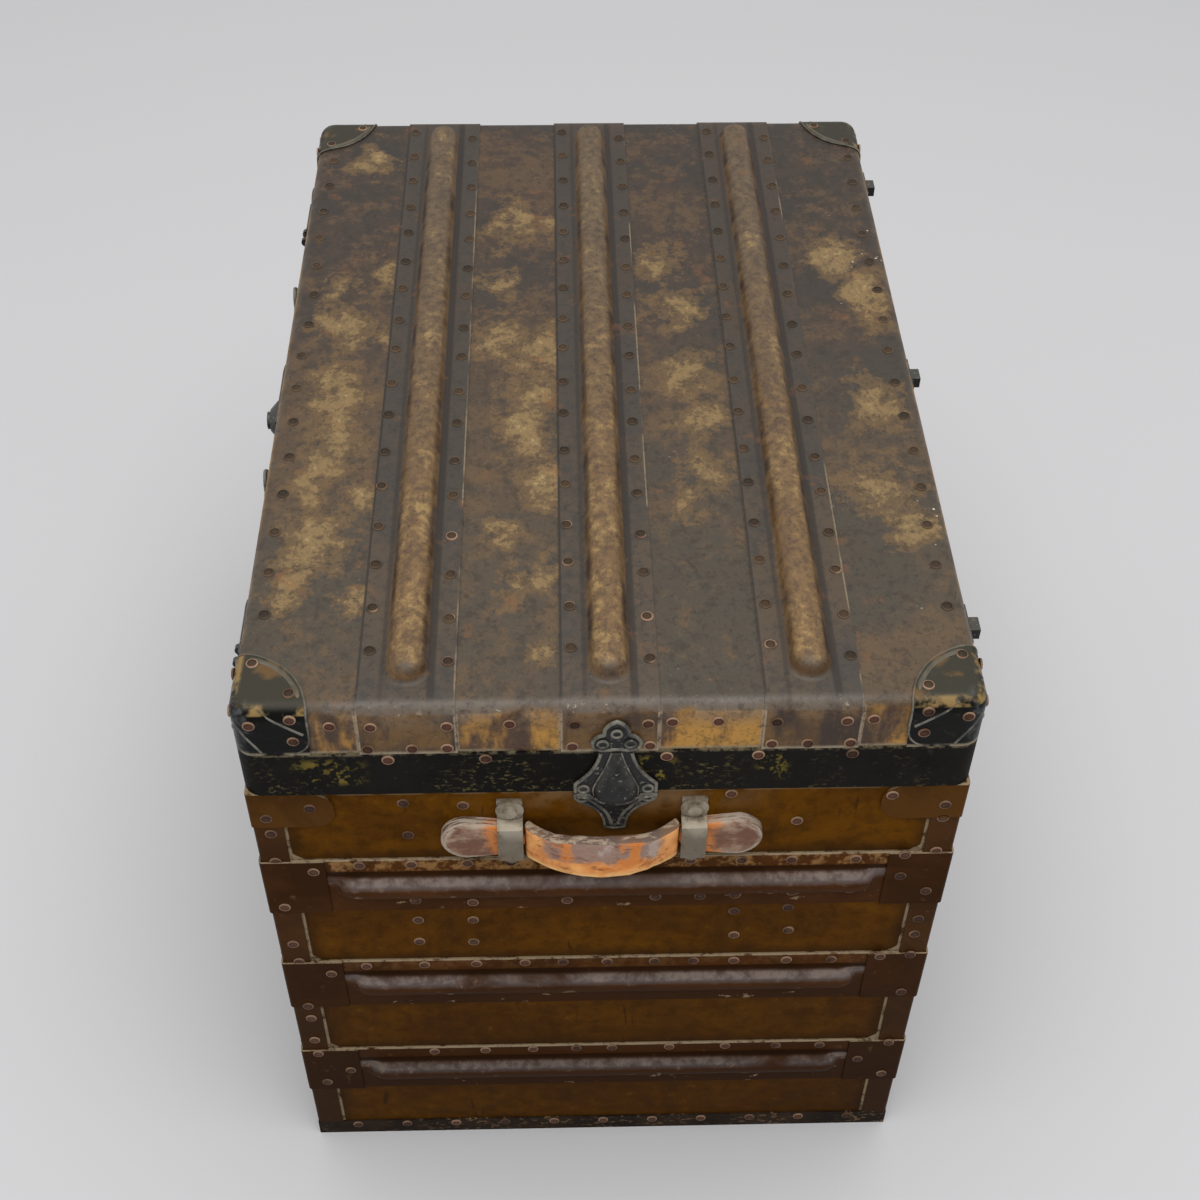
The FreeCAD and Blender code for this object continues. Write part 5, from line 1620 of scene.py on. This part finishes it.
    def body_places(self) -> list[Matrix]:
        """Finds the rivets over the four sides of the body.

        Returns:
            Where each one goes.
        """
        places = []
        for side in (Side.RIGHT_END, Side.LEFT_END):
            for level, row in zip(self.band_upper_levels, self.band_uppers):
                for index, along in enumerate(row):
                    places.append(side.lay(along / 1000, level + self.jog(index), self.sheet))
            for along, height in self.panel:
                proud = self.sheet if self.on_band(height / 1000) else 0.0
                places.append(side.lay(along / 1000, height / 1000, proud))
            places += self.corner_places(side, 0.0)
            places += self.foot_places(side, self.end_foot_reach)
        for side in (Side.FRONT, Side.BACK):
            rows = [(level, *self.upper_row) for level in self.band_upper_levels]
            rows += [(level, *self.lower_row) for level in self.band_lower_levels]
            for level, start, pitch, count in rows:
                for index in range(count):
                    places.append(side.lay(start + index * pitch, level + self.jog(index), self.sheet))
            places += self.corner_places(side, self.longer)
            places += self.foot_places(side, self.front_foot_reach)
        return places

    def foot_places(self, side: Side, reach: int) -> list[Matrix]:
        """Where the rivets of a side's foot iron go, out to a distance in millimetres each way."""
        row = range(-reach, reach + 1, self.foot_pitch)
        return [side.lay(along / 1000, self.foot_level, self.sheet) for along in row]

    def corner_places(self, side: Side, farther: float) -> list[Matrix]:
        """Finds the rivets near a side's corners, on the strips, the wraps and the rim caps.

        Args:
            side: The side.
            farther: How much farther from its middle its corners are than those of the near end.

        Returns:
            Where each one goes.
        """
        places = []
        for along, height in self.corners:
            proud = self.rim_cap if height / 1000 > self.rim_level else self.sheet
            if self.on_band(height / 1000):
                proud = self.sheet * 2
            places.append(side.lay(along / 1000 + math.copysign(farther, along), height / 1000, proud))
        return places

    def build(self, dresser: Dresser) -> None:
        """Sets all the rivets.

        Args:
            dresser: Gives them their finishes and body.
        """
        rivets = Rivets()
        rivets.build(dresser, "lid_rivets", "lid", "worn_steel", self.lid_places())
        rivets.build(dresser, "body_rivets", "trunk_body", "worn_steel", self.body_places())


@dataclass
class Handle:
    """A leather handle: a grip bowed outwards between two loops, and round ends beyond them."""

    side: Side
    level: float = 0.486
    towards_front: float = 0.005
    height: float = 0.0375
    thickness: float = 0.010
    rounding: float = 0.0030
    half_length: float = 0.0600
    bow: float = 0.0228
    bow_steps: int = 26
    tuck: float = 0.0055
    tuck_reach: float = 0.034
    lumps: float = 0.0018
    lump_size: float = 0.007
    clearance: float = 0.0003
    tail_centre: float = 0.105
    tail_radius: float = 0.022
    tail_thickness: float = 0.0072
    tail_sides: int = 32
    neck_share: float = 0.98  # the neck's height as a share of the grip's
    tail_dome: tuple[Spot, ...] = (
        (0.0006, 0.0010), (0.0014, 0.0008), (0.0030, 0.0005), (0.0040, -0.0002), (0.0040, -0.0004),
    )
    loop_reach: float = 0.072
    bolt_level: float = 0.4560
    bolt_radius: float = 0.0058
    bolt_height: float = 0.0045
    bolt_sunk: float = 0.0005
    bolt_sides: int = 20
    bolt_dome: tuple[Spot, ...] = ((0.0008, 0.0006), (0.0016, 0.0005), (0.0018, 0.0002))

    def lower_bolt(self) -> bpy.types.Object:
        """Models the small domed bolt head that shows under a loop's lower end.

        Returns:
            The head.
        """
        foot = -self.bolt_sunk
        work = Workpiece.post("lower_bolt", self.bolt_radius, self.bolt_height, self.bolt_sides, foot)
        work.pick_top().steps(self.bolt_dome)
        return work.done(50)

    def grip(self) -> bpy.types.Object:
        """Sweeps a rounded leather section along the bow, tucks its upper edge in and makes it lumpy.

        Returns:
            The grip, lying on its back along x.
        """
        radius = (self.half_length ** 2 + self.bow ** 2) / (self.bow * 2)
        angle = 2 * math.asin(self.half_length / radius)
        centre = (0, 0, self.thickness / 2 + self.bow - radius)
        start = (-self.half_length, 0, self.thickness / 2)
        work = Workpiece.sheet("grip", (self.thickness, self.height), start, math.pi / 2).pick_all()
        bpy.ops.transform.rotate(value=angle / 2, orient_axis="Y", center_override=start)
        bpy.ops.mesh.bevel(offset=self.rounding, segments=3, affect="VERTICES")
        work.pick_all().sweep(centre, (0, 1, 0), angle, self.bow_steps)
        work.heal()
        work.pick(Kind.VERT, lambda at, _: at.y > 0.010 and abs(at.x) < 0.014)
        bpy.ops.transform.translate(
            value=(0, 0, -self.tuck), use_proportional_edit=True, proportional_edit_falloff="SMOOTH",
            proportional_size=self.tuck_reach,
        )
        work.pick(Kind.EDGE, lambda _, run: abs(run.y) > 0.9).cut_up(5)
        lumpy = bpy.data.textures.new("leather_lumps", "CLOUDS")
        lumpy.noise_scale = self.lump_size
        work.modify("DISPLACE", texture=lumpy, strength=self.lumps, mid_level=0.62)
        limit = self.half_length + self.clearance
        for way in (1, -1):
            work.pick(Kind.VERT, lambda at, _: at.x * way > limit).grow((0, 1, 1), (way * limit, 0, 0))
        return work.done(60)

    def tail(self) -> bpy.types.Object:
        """Domes one thick round strap end, its neck towards the middle.

        Returns:
            The strap end, lying on its back.
        """
        work = Workpiece.post("tail", self.tail_radius, self.tail_thickness, self.tail_sides)
        neck = self.tail_centre - self.half_length - self.tail_radius
        work.pick(Kind.VERT, lambda at, _: at.x < 0).push(-neck, 0, 0)
        narrower = self.height / self.tail_radius / 2 * self.neck_share
        work.pick(Kind.VERT, lambda at, _: at.x < -self.tail_radius).grow((1, narrower, 1), (0, 0, 0))
        work.pick_top().steps(self.tail_dome)
        return work.done(60)

    def build(self, dresser: Dresser) -> None:
        """Makes and dresses the grip, the two ends and the lower bolts.

        Args:
            dresser: Gives them their finishes and bodies.
        """
        label = self.side.label
        on_right = self.side is Side.RIGHT_END
        aside = -self.towards_front if on_right else self.towards_front
        middle = self.side.lay(aside, self.level)
        grip = joined(f"handle_grip_{label}_leather", copied(self.grip(), [middle]))
        dresser.tone(grip, Leather(Hide.GRIP))
        body = "handle_right" if on_right else "handle_left"
        dresser.dress(grip, body, f"handle_grip_{label}")
        turn = Matrix.Rotation(math.pi, 4, "Z")
        shift = Matrix.Translation((self.tail_centre, 0, 0))
        tails = copied(self.tail(), [middle @ way @ shift for way in (Matrix(), turn)])
        ends = dresser.tone(joined(f"handle_ends_{label}_leather", tails), Leather(Hide.END))
        dresser.dress(ends, "trunk_body", f"handle_ends_{label}")
        spots = [self.side.lay(aside + way * self.loop_reach, self.bolt_level) for way in (1, -1)]
        bolts = joined(f"handle_lower_bolts_{label}", copied(self.lower_bolt(), spots))
        dresser.dress(dresser.tone(bolts, WornSteel()), "trunk_body")


@dataclass
class Clamps:
    """Cast clamps: a trefoil plate, a skirt and a pear on the lid, over a forked receiver on the body.

    Outlines are in millimetres: along the side from the clamp's middle, and up from the lid's lower edge.
    A plate is given by the levels of its two faces, and a bead by its radius and level.
    """

    level: float = 0.5413
    skirt: Rows = (
        (0, 0.4, 0, 1), (31.0, 0.4, 0, 1), (31.2, 11.2, 0, 1), (24, 19.5, 0), (18, 29, 0), (14, 39, 0),
        (12, 47, 0, 1), (12, 53, 0, 1), (0, 53, 0, 1),
    )
    skirt_rim: Rows = (
        (30.8, 2.0, 0), (30.8, 11.2, 0, 1), (23.6, 19.5, 0), (17.6, 29, 0), (13.6, 39, 0), (11.6, 48, 0),
    )
    trefoil: Rows = (
        (0, 52.6, 0), (14.2, 52.8, 0), (17.4, 56.6, 0), (17.4, 62.4, 0), (14.0, 66.8, 0),
        (9.2, 69.2, 0, 1), (8.6, 75.6, 0), (4.6, 81.2, 0), (0, 84.2, 0, 1),
    )
    # The pear's cross sections: level, half width and half depth
    pear: tuple[Point, ...] = (
        (-10.8, 3.0, 1.0), (-10.0, 7.0, 2.8), (-8.0, 11.2, 4.8), (-5.0, 14.6, 6.7), (-1.0, 16.8, 8.2),
        (3.0, 17.4, 8.9), (8.0, 17.0, 9.0), (14.0, 15.2, 8.3), (22.0, 12.0, 7.0), (30.0, 9.0, 5.7),
        (38.0, 6.4, 4.4), (44.0, 4.8, 3.4), (49.0, 3.8, 2.6),
    )
    pear_back: float = 3.0
    pear_axis: float = 5.2
    fork: Rows = (
        (0, -15.4, 0), (8, -14.2, 0), (14, -10.6, 0), (17.8, -6.2, 0), (20.4, -3.1, 0, 1),
        (29.4, -3.0, 0), (31.2, -4.8, 0), (31.0, -9.4, 0), (27.0, -14.4, 0), (20.0, -19.0, 0),
        (13.6, -25.5, 0), (9.6, -34.0, 0), (7.6, -46.4, 0, 1), (0, -48.0, 0),
    )
    fork_ridge: Rows = (
        (21.5, -9.5, 0), (13.5, -19.0, 0), (6.5, -29.0, 0), (2.5, -42.0, 0),
    )
    end_towards_back: float = 0.005
    front_off_middle: float = 0.129
    stud_radius: float = 0.0048
    stud_height: float = 0.0012
    stud_sides: int = 20
    stud_dish: float = 0.0027
    upper_stud_level: float = 0.0053
    lower_stud_level: float = 0.0023
    stud_steps: tuple[Spot, ...] = ((0.0005, 0.0005), (0.0009, 0.0), (0.0006, -0.0010), (0.0012, -0.0001))
    upper_studs: tuple[Spot, ...] = ((0, 71.0), (10.4, 59.4), (-10.4, 59.4), (24.6, 6.0), (-24.6, 6.0))
    lower_studs: tuple[Spot, ...] = ((25.0, -9.0), (-25.0, -9.0))

    def boss(self) -> bpy.types.Object:
        """Stacks ovals into the pear and slices off its back.

        Returns:
            The pear, lying on its back.
        """
        low, half, rise = self.pear[0]
        work = Workpiece.disc("pear", (half / 1000, rise / 1000), 32, low / 1000).pick_all()
        for level, wide, deep in self.pear[1:]:
            work.draw_out(0, 0, (level - low) / 1000)
            work.grow((wide / half, deep / rise, 1), (0, 0, level / 1000))
            low, half, rise = level, wide, deep
        work.heal().pick_all()
        cut = (self.pear_axis - self.pear_back) / 1000
        bpy.ops.mesh.bisect(plane_co=(0, cut, 0), plane_no=(0, 1, 0), use_fill=True, clear_outer=True)
        pear = work.done(50)
        raised = Matrix.Translation((0, 0, self.pear_axis / 1000))
        pear.data.transform(raised @ Matrix.Rotation(-math.pi / 2, 4, "X"))
        return pear

    def studs(self, dresser: Dresser, spots: Sequence[Spot], level: float) -> list[bpy.types.Object]:
        """Models a clamp's rivets: each a raised ring, worn grey with painted highlights, round a dark dish.

        Args:
            dresser: Gives them their two finishes.
            spots: Where they go on the clamp.
            level: The height of their feet above the cover, in metres.

        Returns:
            The rivets.
        """
        work = Workpiece.post("stud", self.stud_radius, self.stud_height, self.stud_sides)
        work.pick_top().steps(self.stud_steps)
        stud = dresser.tone(work.done(50), BlackIron(IronPart.FITTING), RubbedEdge())
        for face in stud.data.polygons:
            face.material_index = int(Vector(face.center.xy).length > self.stud_dish)
        return copied(stud, [Matrix.Translation((x / 1000, y / 1000, level)) for x, y in spots])

    def upper(self, dresser: Dresser) -> bpy.types.Object:
        """Builds the lid's half of one clamp.

        Args:
            dresser: Gives it its finishes.

        Returns:
            The half, lying on its back.
        """
        plain = [
            Line.mirrored(self.skirt).plate("skirt", 1.8, 5.4),
            Line.mirrored(self.trefoil).plate("trefoil", 1.8, 5.2),
            self.boss(),
        ]
        # The rims and ridges are worn grey with painted highlights.
        rubbed = [Line.mirrored(self.trefoil).bead("trefoil_rim", 1.6, 5.0)]
        seams = [(wide * 0.985, level, 0) for level, wide, _ in self.pear[4:]]
        for edge, seam in zip(Line.pair(self.skirt_rim), Line.pair(seams)):
            rubbed += [edge.bead("skirt_rim", 1.5, 5.0), seam.bead("pear_rim", 0.9, 6.0)]
        plain = [dresser.tone(piece, BlackIron(IronPart.FITTING)) for piece in plain]
        rubbed = [dresser.tone(piece, RubbedEdge()) for piece in rubbed]
        studs = self.studs(dresser, self.upper_studs, self.upper_stud_level)
        return joined("clamp_upper", plain + rubbed + studs)

    def lower(self, dresser: Dresser) -> bpy.types.Object:
        """Builds the body's half of one clamp.

        Args:
            dresser: Gives it its finishes.

        Returns:
            The half, lying on its back.
        """
        outline = Line.mirrored(self.fork)
        plate = dresser.tone(outline.plate("fork", 0.0, 2.4), BlackIron(IronPart.FITTING))
        # The rims and ridges are worn grey with painted highlights.
        rubbed = [
            outline.bead("fork_rim", 1.1, 2.2),
            Line.mirrored(self.fork[:7], False).bead("fork_lip", 1.5, 3.6),
        ]
        rubbed += [ridge.bead("fork_ridge", 1.5, 2.2) for ridge in Line.pair(self.fork_ridge)]
        rubbed = [dresser.tone(piece, RubbedEdge()) for piece in rubbed]
        studs = self.studs(dresser, self.lower_studs, self.lower_stud_level)
        return joined("clamp_lower", [plate] + rubbed + studs)

    def build(self, dresser: Dresser) -> None:
        """Makes and dresses both halves of the four clamps.

        Args:
            dresser: Gives them their finishes and bodies.
        """
        aside, off = self.end_towards_back, self.front_off_middle
        kinds = {
            "end": ((Side.RIGHT_END, aside), (Side.LEFT_END, -aside)),
            "front": ((Side.FRONT, off), (Side.FRONT, -off)),
        }
        for kind, spots in kinds.items():
            places = [side.lay(along, self.level) for side, along in spots]
            hoods = joined(f"{kind}_clamp_hoods_cast", copied(self.upper(dresser), places))
            dresser.dress(hoods, "lid", f"{kind}_clamp_hoods")
            forks = joined(f"{kind}_clamp_receivers_cast", copied(self.lower(dresser), places))
            dresser.dress(forks, "trunk_body", f"{kind}_clamp_receivers")


@dataclass
class LidCorners:
    """Raised rims, ridges and rivets on the iron corner caps of the lid.

    Places are in millimetres from a corner: in from the end, in from the side, and down from the top.
    """

    corner: Point = (406.0, 280.0, 639.8)
    rim: tuple[Point, ...] = (
        (0.2, 45.5, 49.0), (0.2, 52.5, 44.5), (0.2, 57.0, 37.0), (0.2, 58.0, 28.0), (0.2, 58.0, 16.0),
        (1.9, 57.9, 6.4), (6.4, 57.6, 1.9), (12.5, 56.3, 0.2), (24.3, 52.1, 0.2), (40.7, 40.7, 0.2),
    )
    band: tuple[Point, ...] = (
        (11.0, 52.5, 5.6), (16.0, 51.2, 4.3), (26.8, 46.3, 4.3), (37.8, 37.8, 4.3),
    )
    ridge: tuple[Point, ...] = (
        (5.0, 23.5, 4.4), (2.0, 31.0, 9.6), (1.2, 39.0, 15.5), (1.2, 46.5, 21.5), (1.0, 54.0, 27.0),
    )
    lower_ridge: tuple[Point, ...] = (
        (4.9, 5.0, 17.0), (2.0, 10.0, 27.0), (1.2, 15.0, 36.0), (1.2, 21.0, 47.0),
    )
    rim_radius: float = 0.95
    band_radius: float = 5.0
    ridge_radius: float = 1.9
    lower_ridge_radius: float = 1.7
    rivet_radius: float = 0.0048  # in metres, as the rivets' other sizes are
    top_rivets: tuple[Spot, ...] = ((47.0, 15.0), (17.0, 45.0))
    side_rivets: tuple[Spot, ...] = ((15.5, 16.0), (46.0, 10.0), (46.0, 34.0))

    def place(self, point: Sequence[float], x_way: int, y_way: int) -> Point:
        """Where a place at one of the corners is in the trunk."""
        x, y, z = (corner - inwards for corner, inwards in zip(self.corner, point))
        return (x_way * x, y_way * y, z)

    def swapped(self, line: Sequence[Point]) -> tuple[Point, ...]:
        """A line carried from the end to the side of the lid."""
        return tuple((b, a, c) for a, b, c in line)

    def beads(self, x_way: int, y_way: int) -> list[bpy.types.Object]:
        """Makes the rims and ridges of one corner.

        Args:
            x_way: 1 at the right end and -1 at the left.
            y_way: 1 at the back and -1 at the front.

        Returns:
            The beads.
        """
        lines = [
            (self.rim + self.swapped(self.rim[:-1])[::-1], self.rim_radius),
            (self.band + self.swapped(self.band[:-1])[::-1], self.band_radius),
            (self.ridge, self.ridge_radius),
            (self.swapped(self.ridge), self.ridge_radius),
            (self.lower_ridge, self.lower_ridge_radius),
            (self.swapped(self.lower_ridge), self.lower_ridge_radius),
        ]
        made = []
        for line, radius in lines:
            traced = Line(tuple(self.place(point, x_way, y_way) for point in line), False)
            made.append(traced.bead("corner_bead", radius))
        return made

    def rivets(self, x_way: int, y_way: int) -> list[Matrix]:
        """Finds the rivets of one corner.

        Args:
            x_way: 1 at the right end and -1 at the left.
            y_way: 1 at the back and -1 at the front.

        Returns:
            Where each one goes.
        """
        tops = [Vector(self.place((*spot, 0), x_way, y_way)) / 1000 for spot in self.top_rivets]
        places = [Matrix.Translation(at) for at in tops]
        end = Side.RIGHT_END if x_way > 0 else Side.LEFT_END
        long_side = Side.BACK if y_way > 0 else Side.FRONT
        for inwards, down in self.side_rivets:
            height = (self.corner[2] - down) / 1000
            along = x_way * y_way * (self.corner[1] - inwards) / 1000
            places.append(end.lay(along, height, TRUNK.sheet * 2))
            along = -x_way * y_way * (self.corner[0] - inwards) / 1000
            places.append(long_side.lay(along, height, TRUNK.sheet * 2))
        return places

    def build(self, dresser: Dresser) -> None:
        """Makes and dresses the rims, ridges and rivets of the four corners.

        Args:
            dresser: Gives them their finishes and body.
        """
        beads, places = [], []
        for x_way in (1, -1):
            for y_way in (1, -1):
                beads += self.beads(x_way, y_way)
                places += self.rivets(x_way, y_way)
        rims = dresser.tone(joined("lid_corner_rims", beads), RubbedEdge("black_iron_cap_rims", True))
        dresser.dress(rims, "lid")
        Rivets(self.rivet_radius).build(dresser, "lid_corner_rivets", "lid", "worn_steel", places)


@dataclass
class Studio:
    """A pale floor, soft light from above and the photograph's camera."""

    spot: Point = (1.2363, -0.0347, 1.6092)
    forward: Point = (-0.6955, 0.0220, -0.7182)
    roll: float = 0.0104
    lens: float = 52.57
    floor_size: float = 60.0
    floor_colour: Tint = (0.565, 0.565, 0.575)
    floor_roughness: float = 0.9
    floor_specular: float = 0.1
    sky_strength: float = 0.62
    lamp_place: Point = (0.9, 0.1, 4.6)
    lamp_size: float = 4.4
    lamp_power: float = 165.0

    def build(self) -> None:
        """Sets the floor, the light and the camera."""
        Workpiece.clear()
        bpy.ops.mesh.primitive_plane_add(size=self.floor_size, location=(0, 0, 0))
        floor = bpy.context.object
        floor.name = "floor"
        pale = bpy.data.materials.new("floor_pale")
        pale.use_nodes = True
        surface = pale.node_tree.nodes["Principled BSDF"]
        surface.inputs["Base Color"].default_value = (*self.floor_colour, 1)
        surface.inputs["Roughness"].default_value = self.floor_roughness
        surface.inputs["Specular IOR Level"].default_value = self.floor_specular
        floor.data.materials.append(pale)
        world = bpy.context.scene.world or bpy.data.worlds.new("studio")
        bpy.context.scene.world = world
        world.use_nodes = True
        sky = world.node_tree.nodes["Background"]
        sky.inputs["Color"].default_value = (1.0, 1.0, 1.0, 1)
        sky.inputs["Strength"].default_value = self.sky_strength
        lamp = bpy.data.lights.new("overhead", "AREA")
        lamp.shape = "DISK"
        lamp.size = self.lamp_size
        lamp.energy = self.lamp_power
        hung = bpy.data.objects.new("overhead", lamp)
        hung.location = self.lamp_place
        hung.rotation_euler = (0.0, math.atan2(self.lamp_place[0], self.lamp_place[2]), 0.0)
        bpy.context.collection.objects.link(hung)
        bpy.context.scene.view_settings.view_transform = "Standard"
        self.aim()

    def aim(self) -> None:
        """Points the camera as the photograph was taken."""
        ahead = Vector(self.forward).normalized()
        right = ahead.cross(Vector((0, 0, 1))).normalized()
        up = right.cross(ahead)
        across = right * math.cos(self.roll) + up * math.sin(self.roll)
        upright = up * math.cos(self.roll) - right * math.sin(self.roll)
        turn = Matrix((across, upright, -ahead)).transposed()
        camera = bpy.data.cameras.new("camera")
        camera.lens = self.lens
        camera.sensor_width = 36
        camera.clip_end = 100
        seen = bpy.data.objects.new("camera", camera)
        seen.matrix_world = Matrix.Translation(self.spot) @ turn.to_4x4()
        bpy.context.collection.objects.link(seen)
        bpy.context.scene.camera = seen


def coat_frame(dresser: Dresser) -> None:
    """Gives every CAD node that still shows its finish.

    Args:
        dresser: Puts the finishes on.
    """
    dresser.coat(LidFibre(), "lid_cover")
    dresser.coat(
        PanelFibre(), "front_cover", "back_cover", "left_end_cover", "right_end_cover", "bottom_cover",
    )
    dresser.coat(BandFibre(BandPart.WRAP), "corner_wraps")
    dresser.coat(BandFibre(BandPart.STRIP), "corner_strips")
    dresser.coat(BandFibre(BandPart.RIM), "rim_corner_caps")
    dresser.coat(BlackIron(IronPart.BINDING), "lid_binding")
    dresser.coat(BlackIron(IronPart.CORNER), "lid_corner_caps")
    dresser.coat(
        BlackIron(IronPart.FOOT), "base_binding_front", "base_binding_back", "base_binding_left_end",
        "base_binding_right_end",
    )
    dresser.coat(
        BlackIron(IronPart.FITTING), "hinge_body_leaves", "hinge_lid_leaves", "lock_body_plate",
        "lock_lid_mount", "lock_hasp", "latch_catch_left", "latch_catch_right", "latch_mount_left",
        "latch_mount_right", "latch_bolt_left", "latch_bolt_right",
    )
    dresser.coat(WornSteel(), "handle_loops", "handle_bolts", "hinge_pins", "front_fitting_pins")
    dresser.coat(
        BoardFinish(Board.LINED), "floor_board", "front_board", "back_board", "left_end_board",
        "right_end_board", "lid_top_board", "lid_front_board", "lid_back_board", "lid_left_end_board",
        "lid_right_end_board",
    )
    dresser.coat(BoardFinish(Board.BARE), "rim_tongues", "tray_cleats")


def main() -> None:
    """Dresses the trunk from the fixed frame out to the studio."""
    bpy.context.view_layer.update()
    dresser = Dresser()
    coat_frame(dresser)
    LidBands().build(dresser)
    BodyBands().build(dresser)
    RivetRows().build(dresser)
    LidCorners().build(dresser)
    Clamps().build(dresser)
    for side in (Side.RIGHT_END, Side.LEFT_END):
        Handle(side).build(dresser)
    Studio().build()


if __name__ == "__main__":
    logging.basicConfig(level=logging.INFO, format="%(message)s")
    main()
